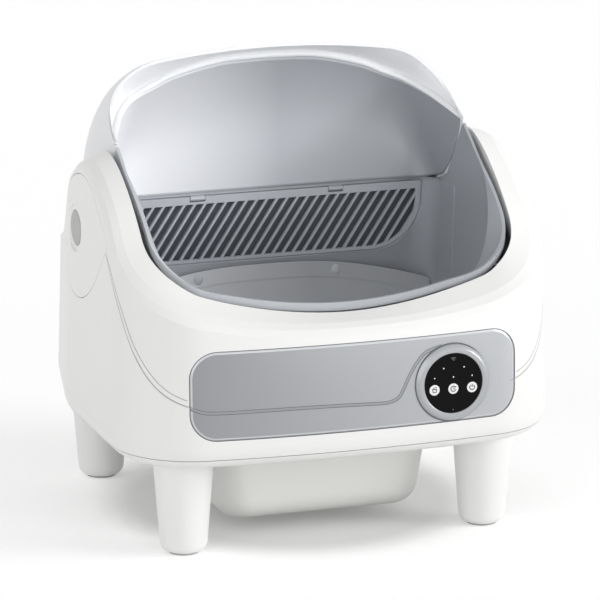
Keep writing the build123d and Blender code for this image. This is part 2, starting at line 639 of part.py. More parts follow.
bezel_back_y = HOOD_EDGE_Y + BEZEL_DEPTH
edge_arch = arch(DRUM_HALF_WIDTH - 2 * DRUM_WALL, MOUTH_END_Z, PIVOT_Z + DRUM_RADIUS - 3 * DRUM_WALL, 2.8)
liner_arch = arch(BEZEL_ARCH_WIDTH, MOUTH_END_Z, BEZEL_ARCH_TOP_Z, 2.0)
funnel = loft([
    Plane.XZ.offset(-HOOD_EDGE_Y + DRUM_FIT) * edge_arch,
    Plane.XZ.offset(-bezel_back_y) * liner_arch,
], ruled=True)
bezel_slice = front_prism(Rectangle(2 * FAR, 4 * FAR), HOOD_EDGE_Y, bezel_back_y)
parts["hood_bezel"] = (inside & bezel_slice & slab(MOUTH_END_Z + DRUM_WALL, 2 * FAR)) - funnel

# Hood liner: the wall from the bezel down to the sieve
liner_front = bezel_back_y + DRUM_FIT
liner_mid_y = (liner_front + SIEVE_TOP_Y) / 2 + LINER_SAG
liner_mid_z = (BEZEL_ARCH_TOP_Z + SIEVE_TOP_Z) / 2
frame_top_y = SIEVE_TOP_Y - FRAME_TOP * sin(radians(SIEVE_LEAN_DEG))
frame_top_z = SIEVE_TOP_Z + FRAME_TOP * cos(radians(SIEVE_LEAN_DEG)) + SEAM_GAP / 2
frame_top_z = frame_top_z + SIEVE_THICK * sin(radians(SIEVE_LEAN_DEG))
liner_top_z = PIVOT_Z + DRUM_RADIUS
liner_face = make_face([
    ThreePointArc((liner_front, liner_top_z), (liner_mid_y, liner_mid_z), (frame_top_y, frame_top_z)),
    Line((frame_top_y, frame_top_z), (frame_top_y + LINER_THICK, frame_top_z)),
    ThreePointArc((frame_top_y + LINER_THICK, frame_top_z), (liner_mid_y + LINER_THICK, liner_mid_z),
                  (liner_front + LINER_THICK, liner_top_z)),
    Line((liner_front + LINER_THICK, liner_top_z), (liner_front, liner_top_z)),
])
parts["hood_liner"] = side_prism(liner_face, -FAR, FAR) & inside

# Sieve, hung on two clips at the top of its frame
lean = radians(SIEVE_LEAN_DEG)
sieve_plane = Plane(origin=(0, SIEVE_TOP_Y, SIEVE_TOP_Z), x_dir=(1, 0, 0), z_dir=(0, -cos(lean), -sin(lean)))


def sieve_outline(grow):
    """D shape: straight top, rounded lower corners."""
    face = Pos(0, -SIEVE_HEIGHT / 2) * Rectangle(2 * (SIEVE_HALF_WIDTH + grow), SIEVE_HEIGHT + 2 * grow)
    low = face.vertices().group_by(Axis.Y)[0]
    return fillet(low, SIEVE_CORNER + grow)


def sieve_slots():
    """Leaning slots between the bars, inside a border that is widest at the top."""
    bars = Sketch()
    count = int(2 * SIEVE_HALF_WIDTH / BAR_PITCH) // 2 + 4
    length = 2 * SIEVE_HEIGHT
    for index in range(-count, count + 1):
        bar = Rot(0, 0, -BAR_LEAN_DEG) * Rectangle(BAR_PITCH * cos(radians(BAR_LEAN_DEG)) - BAR_WIDTH, length)
        bars += Pos(index * BAR_PITCH, -SIEVE_HEIGHT / 2) * bar
    return bars & (Pos(0, -SIEVE_SHIFT) * sieve_outline(-SIEVE_BORDER))


notches = Sketch()
for side in (-1, 1):
    notches += Pos(side * CLIP_X, -CLIP_NOTCH / 2) * Rectangle(CLIP_WIDTH, CLIP_NOTCH)
grid = sieve_outline(0) - sieve_slots() - notches
sieve = extrude(sieve_plane * grid, amount=-SIEVE_THICK)
frame_height = SIEVE_HEIGHT + FRAME_TOP + FRAME_FOOT
frame_face = Pos(0, FRAME_TOP - frame_height / 2) * Rectangle(2 * FAR, frame_height)
frame_face = frame_face - sieve_outline(SIEVE_GAP)
sieve_frame = extrude(sieve_plane * frame_face, amount=-SIEVE_THICK)
corner_x = DRUM_HALF_WIDTH - DRUM_WALL - FRAME_CORNER
corner_post = Box(3 * FRAME_CORNER, frame_height, FRAME_CORNER)
corner_bend = Pos(0, 0, FRAME_CORNER / 2) * Rot(90, 0, 0) * Cylinder(FRAME_CORNER, 2 * frame_height)
corner_post = Pos(1.5 * FRAME_CORNER, 0, 0) * corner_post - corner_bend
corner_place = sieve_plane * Pos(corner_x, FRAME_TOP - frame_height / 2, FRAME_CORNER / 2)
corner_right = corner_place * corner_post
parts["sieve_frame"] = (sieve_frame + corner_right + mirrored(corner_right)) & inside
clip_set = []
for side in (-1, 1):
    hinge = sieve_plane * Pos(side * CLIP_X, -HINGE_DROP, -SIEVE_THICK / 2)
    pin = hinge * Rot(0, 90, 0) * Cylinder(HINGE_RADIUS, CLIP_WIDTH + 2 * CLIP_WALL)
    sieve = sieve + pin
    block_top = FRAME_TOP + HINGE_DROP - SEAM_GAP
    eye = hinge * Rot(0, 90, 0) * Cylinder(HINGE_RADIUS + HINGE_FIT + CLIP_WALL, CLIP_WIDTH - 2 * SEAM_GAP)
    web = hinge * Pos(0, block_top / 2, 0) * Box(CLIP_WIDTH - 2 * SEAM_GAP, block_top, 2 * CLIP_WALL)
    bore = hinge * Rot(0, 90, 0) * Cylinder(HINGE_RADIUS + HINGE_FIT, 2 * CLIP_WIDTH)
    clip_set.append((eye + web) - bore)
parts["sieve"] = sieve
parts["sieve_clips"] = Compound(children=[clip - parts["sieve_frame"] for clip in clip_set])

# Litter mat and the two snaps on its rear edge
def floor_z(y, radius):
    """Height of the bowl's floor curve."""
    return FLOOR_Z - sqrt(radius ** 2 - (y - FLOOR_Y) ** 2)


mat_low = FLOOR_RADIUS + MAT_THICK
mat_face = make_face([
    ThreePointArc((MAT_FRONT_Y, floor_z(MAT_FRONT_Y, FLOOR_RADIUS)), (FLOOR_Y + 90, floor_z(FLOOR_Y + 90, FLOOR_RADIUS)),
                  (MAT_REAR_Y, floor_z(MAT_REAR_Y, FLOOR_RADIUS))),
    Line((MAT_REAR_Y, floor_z(MAT_REAR_Y, FLOOR_RADIUS)), (MAT_REAR_Y, floor_z(MAT_REAR_Y, mat_low))),
    ThreePointArc((MAT_REAR_Y, floor_z(MAT_REAR_Y, mat_low)), (FLOOR_Y + 90, floor_z(FLOOR_Y + 90, mat_low)),
                  (MAT_FRONT_Y, floor_z(MAT_FRONT_Y, mat_low))),
    Line((MAT_FRONT_Y, floor_z(MAT_FRONT_Y, mat_low)), (MAT_FRONT_Y, floor_z(MAT_FRONT_Y, FLOOR_RADIUS))),
])
parts["litter_mat"] = side_prism(mat_face, -FAR, FAR) & inside
snap_z = floor_z(SNAP_Y, FLOOR_RADIUS)
snap_set = []
for side in (-1, 1):
    seat = Plane(origin=(side * CLIP_X, SNAP_Y, snap_z), z_dir=(0, FLOOR_Y - SNAP_Y, FLOOR_Z - snap_z))
    snap_set.append(extrude(seat * Pos(0, 0, SNAP_LIFT) * Circle(SNAP_RADIUS), amount=SNAP_THICK))
parts["mat_snaps"] = Compound(children=snap_set)

# Trunnions, bushes and brackets that carry the drum
flange_x = DRUM_HALF_WIDTH + TRUNNION_FLANGE
trunnion = rod(TRUNNION_FLANGE_RADIUS, DRUM_HALF_WIDTH, flange_x, PIVOT_Y, PIVOT_Z)
trunnion = trunnion + rod(TRUNNION_RADIUS, flange_x, TRUNNION_END_X, PIVOT_Y, PIVOT_Z)
bush_radius = TRUNNION_RADIUS + RUNNING_FIT + BUSH_WALL
bush_mid = BRACKET_X + BRACKET_THICK / 2
bush = rod(bush_radius, bush_mid - BUSH_LENGTH / 2, bush_mid + BUSH_LENGTH / 2, PIVOT_Y, PIVOT_Z)
bush = bush - rod(TRUNNION_RADIUS + RUNNING_FIT, LEG_X, FAR, PIVOT_Y, PIVOT_Z)
centre_distance = GEAR_MODULE * (GEAR_TEETH + PINION_TEETH) / 2
pinion_angle = radians(PINION_ANGLE_DEG)
pinion_y = PIVOT_Y + centre_distance * cos(pinion_angle)
pinion_z = PIVOT_Z + centre_distance * sin(pinion_angle)
box_high_y = pinion_y + GEARBOX_SIDE / 2
floor_top = SKIRT_Z + PAN_FLOOR
web_points = ((PIVOT_Y - 2 * BRACKET_HEAD, floor_top), (box_high_y - BRACKET_THICK, floor_top),
              (box_high_y, pinion_z + GEARBOX_SIDE / 2), (PIVOT_Y + BRACKET_HEAD, PIVOT_Z),
              (PIVOT_Y - BRACKET_HEAD, PIVOT_Z))
web_face = make_face(Polyline(*web_points, close=True)) + Pos(PIVOT_Y, PIVOT_Z) * Circle(BRACKET_HEAD)
bracket = side_prism(web_face, BRACKET_X, BRACKET_X + BRACKET_THICK)
foot_low_y = web_points[0][0]
foot_high_y = web_points[1][0]
foot = Pos(BRACKET_X - BRACKET_FOOT / 2 + BRACKET_THICK / 2, (foot_low_y + foot_high_y) / 2,
           floor_top + BRACKET_THICK / 2) * Box(BRACKET_FOOT + BRACKET_THICK, foot_high_y - foot_low_y, BRACKET_THICK)
bracket = bracket + foot - rod(bush_radius + BUSH_FIT, LEG_X, FAR, PIVOT_Y, PIVOT_Z)
bracket = bracket - rod(2 * PINION_SHAFT, LEG_X, FAR, pinion_y, pinion_z)
screw_set = []
screw_x = BRACKET_X - BRACKET_FOOT / 2
foot_top = floor_top + BRACKET_THICK
for y in (foot_low_y + BRACKET_HEAD / 2, foot_high_y - BRACKET_HEAD / 2):
    head = post(SCREW_HEAD, foot_top, foot_top + SCREW_HEAD_THICK, screw_x, y)
    screw_set.append(head + post(SCREW_RADIUS, SKIRT_Z, foot_top, screw_x, y))
    bracket = bracket - post(SCREW_RADIUS + SCREW_GAP, SKIRT_Z, foot_top, screw_x, y)
    for side in (-1, 1):
        pan = pan - post(SCREW_RADIUS + SCREW_GAP, 0, foot_top, side * screw_x, y)
parts["base_pan"] = pan
parts["bracket_screws"] = Compound(children=screw_set + [mirrored(screw) for screw in screw_set])
for name, shape in (("drum_bracket", bracket), ("drum_bush", bush), ("trunnion", trunnion)):
    parts[f"{name}_right"] = shape
    parts[f"{name}_left"] = mirrored(shape)


# Drive: a gear on the drum's right end, a pinion under it, a gearbox and a motor on the bracket
def gear_face(teeth, turn):
    """Involute gear outline about its own centre with a tooth at the given angle."""
    pitch = GEAR_MODULE * teeth / 2
    pressure = radians(PRESSURE_DEG)
    base = pitch * cos(pressure)
    root = pitch - 1.25 * GEAR_MODULE
    tip = pitch + GEAR_MODULE
    half_pitch = pi / (2 * teeth) - BACKLASH / (4 * pitch) + tan(pressure) - pressure
    flank = []
    for step in range(5):
        radius = max(base, root) + (tip - max(base, root)) * step / 4
        roll = acos(min(1.0, base / radius))
        flank.append((radius, half_pitch - tan(roll) + roll))
    if base > root:
        flank.insert(0, (root, flank[0][1]))
    points = []
    for tooth in range(teeth):
        middle = turn + 2 * pi * tooth / teeth
        points += [(r * cos(middle - a), r * sin(middle - a)) for r, a in flank]
        points += [(r * cos(middle + a), r * sin(middle + a)) for r, a in reversed(flank)]
    return make_face(Polyline(*points, close=True))


gear_outline = gear_face(GEAR_TEETH, pinion_angle) - Circle(TRUNNION_FLANGE_RADIUS + GEAR_BORE_GAP)
parts["drum_gear"] = side_prism(Pos(PIVOT_Y, PIVOT_Z) * gear_outline, DRUM_HALF_WIDTH, DRUM_HALF_WIDTH + GEAR_WIDTH)
pinion_low_x = DRUM_HALF_WIDTH + GEAR_BACK_OFF
pinion_high_x = DRUM_HALF_WIDTH + GEAR_WIDTH + GEAR_BACK_OFF
pinion_outline = gear_face(PINION_TEETH, pinion_angle + pi + pi / PINION_TEETH)
box_low_x = BRACKET_X + BRACKET_THICK
pinion = side_prism(Pos(pinion_y, pinion_z) * pinion_outline, pinion_low_x, pinion_high_x)
parts["drive_pinion"] = pinion + rod(PINION_SHAFT, pinion_high_x, box_low_x + GEARBOX_THICK / 2, pinion_y, pinion_z)
gearbox = Pos(box_low_x + GEARBOX_THICK / 2, pinion_y, pinion_z) * Box(GEARBOX_THICK, GEARBOX_SIDE, GEARBOX_SIDE)
gearbox = fillet(gearbox.edges().filter_by(Axis.X), 2 * PINION_SHAFT)
parts["gearbox"] = gearbox - rod(PINION_SHAFT + RUNNING_FIT, 0, box_low_x + GEARBOX_THICK / 2 + 1, pinion_y, pinion_z)
motor_top = pinion_z - GEARBOX_SIDE / 2
motor_x = box_low_x + MOTOR_RADIUS + SEAM_GAP / 4
parts["drive_motor"] = post(MOTOR_RADIUS, motor_top - MOTOR_LENGTH, motor_top, motor_x, pinion_y)

# Home sensor on the left bracket and its magnet on the drum
magnet_angle = radians(MAGNET_ANGLE_DEG)
magnet_y = PIVOT_Y + MAGNET_ARM * cos(magnet_angle)
magnet_z = PIVOT_Z + MAGNET_ARM * sin(magnet_angle)
magnet_x = DRUM_HALF_WIDTH + MAGNET_THICK
parts["home_magnet"] = mirrored(rod(MAGNET_RADIUS, DRUM_HALF_WIDTH, magnet_x, magnet_y, magnet_z))
sensor = Box(BRACKET_THICK / 2, 2 * MAGNET_RADIUS, 2 * MAGNET_RADIUS)
parts["home_sensor"] = Pos(-BRACKET_X + BRACKET_THICK / 4, magnet_y, magnet_z) * sensor

# Main board on standoffs behind the chute, and the power inlet in the rear wall
board_z = floor_top + STANDOFF_HEIGHT
parts["main_board"] = Pos(0, BOARD_Y, board_z + BOARD_THICK / 2) * Box(BOARD_WIDTH, BOARD_DEPTH, BOARD_THICK)
standoff_set = []
for side_x in (-1, 1):
    for side_y in (-1, 1):
        x = side_x * (BOARD_WIDTH / 2 - 2 * STANDOFF_RADIUS)
        y = BOARD_Y + side_y * (BOARD_DEPTH / 2 - 2 * STANDOFF_RADIUS)
        standoff_set.append(post(STANDOFF_RADIUS, floor_top, board_z, x, y))
parts["board_standoffs"] = Compound(children=standoff_set)
inlet_face_y = BODY_HALF_DEPTH - REAR_BULGE
inlet_spot = Pos(INLET_X, INLET_Z)
inlet = front_prism(inlet_spot * Circle(INLET_RADIUS), inlet_face_y - INLET_LENGTH, inlet_face_y)
parts["dc_inlet"] = inlet - front_prism(inlet_spot * Circle(INLET_BORE), inlet_face_y - INLET_LENGTH / 2, FAR)

os.makedirs("parts", exist_ok=True)
for node, shape in parts.items():
    export_step(shape, f"parts/{node}.step")
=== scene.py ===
import bmesh
import bpy
import numpy as np
from mathutils import Matrix, Vector


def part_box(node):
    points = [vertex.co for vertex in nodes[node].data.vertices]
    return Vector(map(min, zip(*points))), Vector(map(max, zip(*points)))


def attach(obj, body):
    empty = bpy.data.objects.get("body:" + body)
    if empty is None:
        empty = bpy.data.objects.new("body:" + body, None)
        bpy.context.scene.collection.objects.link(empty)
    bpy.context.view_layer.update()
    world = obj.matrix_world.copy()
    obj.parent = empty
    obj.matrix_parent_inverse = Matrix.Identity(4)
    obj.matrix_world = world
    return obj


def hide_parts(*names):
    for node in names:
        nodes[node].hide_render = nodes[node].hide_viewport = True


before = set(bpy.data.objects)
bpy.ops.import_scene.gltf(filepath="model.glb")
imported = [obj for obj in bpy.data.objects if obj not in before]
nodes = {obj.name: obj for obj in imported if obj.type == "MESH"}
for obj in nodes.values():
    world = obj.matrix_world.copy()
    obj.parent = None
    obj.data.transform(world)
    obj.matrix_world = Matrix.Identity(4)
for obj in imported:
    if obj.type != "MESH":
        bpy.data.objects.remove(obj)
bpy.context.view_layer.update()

# Studio, in metres: white seamless paper under an even white sky, a wide soft key from the far right,
# weak fills from the front and the left, and two spots into the hood.
# The camera stands left of the front with a long lens.
scene = bpy.context.scene
scene.view_settings.view_transform = "Standard"


def paint(code):
    """sRGB hex code to linear RGBA."""
    value = np.array([int(code[k:k + 2], 16) for k in (1, 3, 5)]) / 255
    linear = np.where(value <= 0.04045, value / 12.92, ((value + 0.055) / 1.055) ** 2.4)
    return (*linear.tolist(), 1.0)


def add(tree, kind, settings=None, **links):
    """Add one shader node, set its properties or sockets, and link sockets by name."""
    made = tree.nodes.new(kind)
    for key, value in (settings or {}).items():
        if key in made.inputs:
            made.inputs[key].default_value = value
        else:
            setattr(made, key, value)
    for key, source in links.items():
        tree.links.new(source, made.inputs[key.replace("_", " ")])
    return made


CAMERA_AZIMUTH, CAMERA_ELEVATION, CAMERA_DISTANCE = np.radians(18.855), np.radians(13.964), 5.573
AIM_HEIGHT, AIM_RIGHT, AIM_DOWN = 0.290, 0.0152, 0.0340
LENS_MM, SENSOR_MM, CLIP_END = 270, 36, 50
right = np.array([np.cos(CAMERA_AZIMUTH), -np.sin(CAMERA_AZIMUTH), 0.0])
level_ahead = np.array([np.sin(CAMERA_AZIMUTH), np.cos(CAMERA_AZIMUTH), 0.0])
ahead = np.cos(CAMERA_ELEVATION) * level_ahead - np.sin(CAMERA_ELEVATION) * np.array([0.0, 0.0, 1.0])
above = np.cross(right, ahead)
target = np.array([0, 0, AIM_HEIGHT]) + AIM_RIGHT * right - AIM_DOWN * above
camera = bpy.data.objects.new("camera", bpy.data.cameras.new("camera"))
camera.data.lens = LENS_MM
camera.data.sensor_width = SENSOR_MM
camera.data.clip_end = CLIP_END
facing = Matrix(np.column_stack([right, above, -ahead]).tolist()).to_4x4()
camera.matrix_world = Matrix.Translation(Vector(target - ahead * CAMERA_DISTANCE)) @ facing
scene.collection.objects.link(camera)
scene.camera = camera


def seen_directly(tree):
    """1 for rays from the camera, in a mirror or through glass, 0 for light that falls on things."""
    ray = add(tree, "ShaderNodeLightPath").outputs
    mirrored = add(tree, "ShaderNodeMath", {"operation": "MAXIMUM"})
    tree.links.new(ray["Is Glossy Ray"], mirrored.inputs[0])
    tree.links.new(ray["Is Transmission Ray"], mirrored.inputs[1])
    either = add(tree, "ShaderNodeMath", {"operation": "MAXIMUM"})
    tree.links.new(ray["Is Camera Ray"], either.inputs[0])
    tree.links.new(mirrored.outputs[0], either.inputs[1])
    return either.outputs[0]


SKY_LIGHT = 0.53
sky = bpy.data.worlds.new("studio_sky")
scene.world = sky
sky.use_nodes = True
backdrop = sky.node_tree.nodes["Background"]
backdrop.inputs["Color"].default_value = paint("#FFFFFF")
level = add(sky.node_tree, "ShaderNodeMapRange", {"To Min": SKY_LIGHT, "To Max": 1.0},
            Value=seen_directly(sky.node_tree))
sky.node_tree.links.new(level.outputs["Result"], backdrop.inputs["Strength"])


def sun(name, bearing, height, spread, level):
    """Soft sun from a bearing right of the front and a height, in degrees.
    A white wall that faces it gets this level."""
    data = bpy.data.lights.new(name, "SUN")
    data.energy = level * np.pi
    data.angle = np.radians(spread)
    bearing, height = np.radians(bearing), np.radians(height)
    source = Vector((np.sin(bearing) * np.cos(height), -np.cos(bearing) * np.cos(height), np.sin(height)))
    made = bpy.data.objects.new(name, data)
    made.matrix_world = source.to_track_quat("Z", "Y").to_matrix().to_4x4()
    scene.collection.objects.link(made)


def spot(name, watts, place, aim, cone):
    """Soft spot at a place, aimed at a point, with a cone in degrees that fades to its rim."""
    data = bpy.data.lights.new(name, "SPOT")
    data.energy = watts
    data.spot_size = np.radians(cone)
    data.spot_blend = 1.0
    data.shadow_soft_size = SPOT_RADIUS
    made = bpy.data.objects.new(name, data)
    place, aim = Vector(place), Vector(aim)
    turned = (aim - place).to_track_quat("-Z", "Y").to_matrix().to_4x4()
    made.matrix_world = Matrix.Translation(place) @ turned
    scene.collection.objects.link(made)


SPOT_RADIUS = 0.25
sun("key_light", bearing=62, height=16, spread=30, level=0.43)
sun("front_fill", bearing=5, height=5, spread=60, level=0.12)
sun("left_fill", bearing=-65, height=15, spread=60, level=0.20)
spot("hood_accent", watts=72, place=(1.7, -1.4, 0.72), aim=(-0.15, 0.07, 0.475), cone=15)
spot("visor_fill", watts=90, place=(0.35, -2.2, 0.25), aim=(0.04, 0.06, 0.565), cone=9)

# Floor of the studio. The paper glows a little where it is seen, so that it runs into the sky without
# an edge, and an oval of soft shade lies on it under the body.
FLOOR_REACH, FLOOR_GLOW = 9.0, 0.28
SHADE_HALF, SHADE_INNER, SHADE_OUTER = (0.34, 0.36, 1.0), 0.54, 0.76
floor_mesh = bpy.data.meshes.new("floor")
floor_corners = [(x * FLOOR_REACH, y * FLOOR_REACH, 0) for x, y in ((-1, -1), (1, -1), (1, 1), (-1, 1))]
floor_mesh.from_pydata(floor_corners, [], [(0, 1, 2, 3)])
floor = bpy.data.objects.new("floor", floor_mesh)
scene.collection.objects.link(floor)
# Seamless paper: dead matt white, greyer inside the oval, with no highlight.
seamless = bpy.data.materials.new("seamless_paper")
seamless.use_nodes = True
tree = seamless.node_tree
matt = tree.nodes["Principled BSDF"]
matt.inputs["Roughness"].default_value = 1.0
matt.inputs["Specular IOR Level"].default_value = 0.0
place = add(tree, "ShaderNodeTexCoord").outputs["Object"]
oval = add(tree, "ShaderNodeVectorMath", {"operation": "DIVIDE"}, Vector=place)
oval.inputs[1].default_value = SHADE_HALF
distance = add(tree, "ShaderNodeVectorMath", {"operation": "LENGTH"}, Vector=oval.outputs["Vector"])
shade_range = {"interpolation_type": "SMOOTHSTEP", "From Min": SHADE_INNER, "From Max": SHADE_OUTER}
shade = add(tree, "ShaderNodeMapRange", shade_range, Value=distance.outputs["Value"])
paper = add(tree, "ShaderNodeMix", {"data_type": "RGBA"}, Factor=shade.outputs["Result"])
paper.inputs[6].default_value = paint("#D3D3D2")
paper.inputs[7].default_value = paint("#FEFEFE")
tree.links.new(paper.outputs[2], matt.inputs["Base Color"])
tree.links.new(paper.outputs[2], matt.inputs["Emission Color"])
glow = add(tree, "ShaderNodeMapRange", {"To Min": 0.0, "To Max": FLOOR_GLOW}, Value=seen_directly(tree))
tree.links.new(glow.outputs["Result"], matt.inputs["Emission Strength"])
floor_mesh.materials.append(seamless)

# Legs: four tapered feet, moulded in white ABS, bolted up through the base pan.
# Each stands on a grey rubber pad and carries a load cell at its head.
DRIFT_MM, GLOSS_SWING, GRAIN_HEIGHT, PLASTIC_IOR = 111.0, 0.05, 0.0002, 1.5


def moulded(name, first, second, roughness, metallic=0.0, grain_mm=0.9, depth=0.04):
    """Moulded or painted surface: two tones drift over hand-sized patches, a fine grain breaks the gloss."""
    made = bpy.data.materials.new(name)
    made.use_nodes = True
    tree = made.node_tree
    shader = tree.nodes["Principled BSDF"]
    shader.inputs["Metallic"].default_value = metallic
    shader.inputs["IOR"].default_value = PLASTIC_IOR
    place = add(tree, "ShaderNodeTexCoord").outputs["Object"]
    drift = add(tree, "ShaderNodeTexNoise", {"Scale": 1000 / DRIFT_MM, "Detail": 2.0}, Vector=place)
    tone = add(tree, "ShaderNodeMix", {"data_type": "RGBA"}, Factor=drift.outputs["Fac"])
    tone.inputs[6].default_value = paint(second)
    tone.inputs[7].default_value = paint(first)
    tree.links.new(tone.outputs[2], shader.inputs["Base Color"])
    grain = add(tree, "ShaderNodeTexNoise", {"Scale": 1000 / grain_mm, "Detail": 3.0}, Vector=place)
    swing = {"To Min": roughness - GLOSS_SWING, "To Max": roughness + GLOSS_SWING}
    gloss = add(tree, "ShaderNodeMapRange", swing, Value=grain.outputs["Fac"])
    tree.links.new(gloss.outputs["Result"], shader.inputs["Roughness"])
    relief = {"Strength": depth, "Distance": GRAIN_HEIGHT}
    bump = add(tree, "ShaderNodeBump", relief, Height=grain.outputs["Fac"])
    tree.links.new(bump.outputs["Normal"], shader.inputs["Normal"])
    return made


def dress(material, *names):
    """Give CAD nodes a material."""
    for name in names:
        nodes[name].data.materials.clear()
        nodes[name].data.materials.append(material)


corners = ("front_left", "front_right", "rear_left", "rear_right")
# White ABS: a warm white with a satin grain, which spreads the lamps into wide soft highlights.
white_abs = moulded("white_abs", "#F6F6F5", "#F3F3F1", 0.36)
dress(white_abs, *[f"leg_{corner}" for corner in corners])
# Rubber: a matt mid grey that shows as a thin dark foot on the paper.
pad_rubber = moulded("pad_rubber", "#B9B9B8", "#B0B0AF", 0.8)
dress(pad_rubber, *[f"foot_pad_{corner}" for corner in corners])
# Plated steel: a grey metal with blurred reflections.
plated_steel = moulded("plated_steel", "#A9ABAE", "#A0A2A6", 0.35, metallic=1.0)
dress(plated_steel, "leg_studs", "leg_nuts", *[f"load_cell_{corner}" for corner in corners])

# Base pan and what it carries: brackets and bushes for the drum, the drive, the boards,
# the chute and the rails for the waste bin. All of it is screwed to the pan from inside.
dress(white_abs, "base_pan")
dress(plated_steel, "bracket_screws", "drum_bracket_left", "drum_bracket_right", "drive_motor", "home_magnet")
# Dark ABS: a half-matt charcoal that falls back into the gaps between the white covers.
dark_abs = moulded("dark_abs", "#44474B", "#3E4145", 0.5)
dress(dark_abs, "bin_rail_left", "bin_rail_right", "waste_chute", "gearbox")
dress(dark_abs, "dc_inlet", "board_standoffs", "home_sensor")
# Acetal: an ivory, slightly waxy bearing plastic.
acetal = moulded("acetal", "#DAD8D2", "#D4D2CB", 0.45)
dress(acetal, "drum_bush_left", "drum_bush_right", "trunnion_left", "trunnion_right")
dress(acetal, "drum_gear", "drive_pinion")
# Solder mask: a dark green lacquer with a small clear highlight.
solder_mask = moulded("solder_mask", "#1D5B3A", "#194F33", 0.4)
dress(solder_mask, "touch_board", "main_board")

# Waste bin: a deep drawer with round corners that hangs on its rails
# and slides out to the front under the body.
# Polypropylene: a shade darker and softer than the body, so that the bin reads as its own piece.
bin_polypropylene = moulded("bin_polypropylene", "#F2F2F0", "#EEEEEB", 0.42)
dress(bin_polypropylene, "waste_bin")

# Body: lower body and covers, injection moulded in white ABS with a fine satin grain.
# The covers clip on, so a thin shadow gap shows between them.
# On each flank two fine moulded lines run from the shoulder down to the front panel.
dress(white_abs, "lower_body", "front_upper_cover", "rear_upper_cover")
SKIRT_Z, DRAFT = 119.0, np.tan(np.radians(1.72))
CORNER_X, CORNER_Y, CORNER_RADIUS, CORNER_SINE = 171.0, -149.4, 106.0, 0.99
SEAM_STEPS, SEAM_WIDTH, SEAM_PROUD, SEAM_APART, SECOND_END_Y = 80, 0.8, 0.08, 5.0, -246.5
SEAM_POINTS = [(-122, 362), (-146, 337), (-171, 306), (-198, 260), (-225, 221), (-246, 200), (-249.5, 198.5)]


def smooth_curve(points, count):
    """Catmull-Rom curve through points, sampled evenly in the points' chord length."""
    points = np.array(points, float)
    chord = np.concatenate([[0], np.cumsum(np.linalg.norm(np.diff(points, axis=0), axis=1))])
    padded = np.vstack([2 * points[0] - points[1], points, 2 * points[-1] - points[-2]])
    at = np.linspace(0, chord[-1], count)
    k = np.clip(np.searchsorted(chord, at, side="right") - 1, 0, len(points) - 2)
    f = ((at - chord[k]) / (chord[k + 1] - chord[k]))[:, None]
    a, b, c, d = padded[k], padded[k + 1], padded[k + 2], padded[k + 3]
    square, cube = 2 * a - 5 * b + 4 * c - d, 3 * b - a - 3 * c + d
    return 0.5 * (2 * b + (c - a) * f + square * f ** 2 + cube * f ** 3)


def directions(path):
    """Unit vectors along a path, one at each point."""
    along = np.gradient(path, axis=0)
    return along / np.linalg.norm(along, axis=1)[:, None]


def grid_sheet(grid, closed=False, turned=False):
    """Points and quads of a grid; closed joins the last row to the first, turned faces the other way."""
    rows, columns = grid.shape[:2]
    index = np.arange(rows * columns).reshape(rows, columns)
    if closed:
        index = np.vstack([index, index[:1]])
    faces = np.stack([index[:-1, :-1], index[1:, :-1], index[1:, 1:], index[:-1, 1:]], axis=-1).reshape(-1, 4)
    return grid.reshape(-1, 3), faces[:, ::-1] if turned else faces


def joined(sheets):
    """One list of points and one of faces from several (points, faces) sheets."""
    starts = np.cumsum([0] + [len(points) for points, faces in sheets])
    all_points = np.vstack([points for points, faces in sheets])
    return all_points, np.vstack([faces + start for (points, faces), start in zip(sheets, starts)])


def mesh_piece(name, points, faces, material, body, slot):
    """Mesh piece from points in millimetres, its poles merged, riding on a body; the finish slot is not used.
    """
    mesh = bpy.data.meshes.new(name)
    mesh.from_pydata((np.asarray(points, float) / 1000).tolist(), [], np.asarray(faces).tolist())
    shape = bmesh.new()
    shape.from_mesh(mesh)
    bmesh.ops.remove_doubles(shape, verts=shape.verts, dist=1e-6)
    shape.to_mesh(mesh)
    shape.free()
    mesh.shade_smooth()
    mesh.materials.append(material)
    made = bpy.data.objects.new(name, mesh)
    scene.collection.objects.link(made)
    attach(made, body)
    return made


def flank_point(y, z):
    """Point and outward normal on the right flank: straight, then the round front corner.
    The draft draws both in with height."""
    drawn = DRAFT * (z - SKIRT_Z)
    sine = np.clip((CORNER_Y - y) / (CORNER_RADIUS - drawn), 0, CORNER_SINE)
    cosine = np.sqrt(1 - sine ** 2)
    point = np.stack([CORNER_X + (CORNER_RADIUS - drawn) * cosine, y, z], axis=-1)
    return point, np.stack([cosine, -sine, np.full_like(y, DRAFT)], axis=-1)


def surface_strip(points, normals, width, proud):
    """Flat strip along a path that lies on a surface, widened at right angles to the path."""
    side = np.cross(normals, np.gradient(points, axis=0))
    side = side / np.linalg.norm(side, axis=1)[:, None] * width / 2
    lifted = points + normals * proud
    return np.stack([lifted - side, lifted + side], axis=1)


seam_line = smooth_curve(SEAM_POINTS, SEAM_STEPS)
slope = directions(seam_line)
apart = SEAM_APART * np.clip(np.linspace(0, 5, SEAM_STEPS), 0, 1)[:, None]
second_line = seam_line + apart * np.column_stack([slope[:, 1], -slope[:, 0]])
second_line = second_line[second_line[:, 0] > SECOND_END_Y]
strips = []
for line in (seam_line, second_line):
    strip = surface_strip(*flank_point(line[:, 0], line[:, 1]), SEAM_WIDTH, SEAM_PROUD)
    mirrored_strip = strip[::-1] * [-1, 1, 1]
    strips += [grid_sheet(strip), grid_sheet(mirrored_strip)]
# Seam shadow: painted shade, a grey strip on the white plastic that stands for the shade in a fine moulded
# line.
seam_shadow = moulded("seam_shadow", "#A9A9A6", "#A2A29F", 0.7)
mesh_piece("flank_lines", *joined(strips), seam_shadow, "base", "body_white")

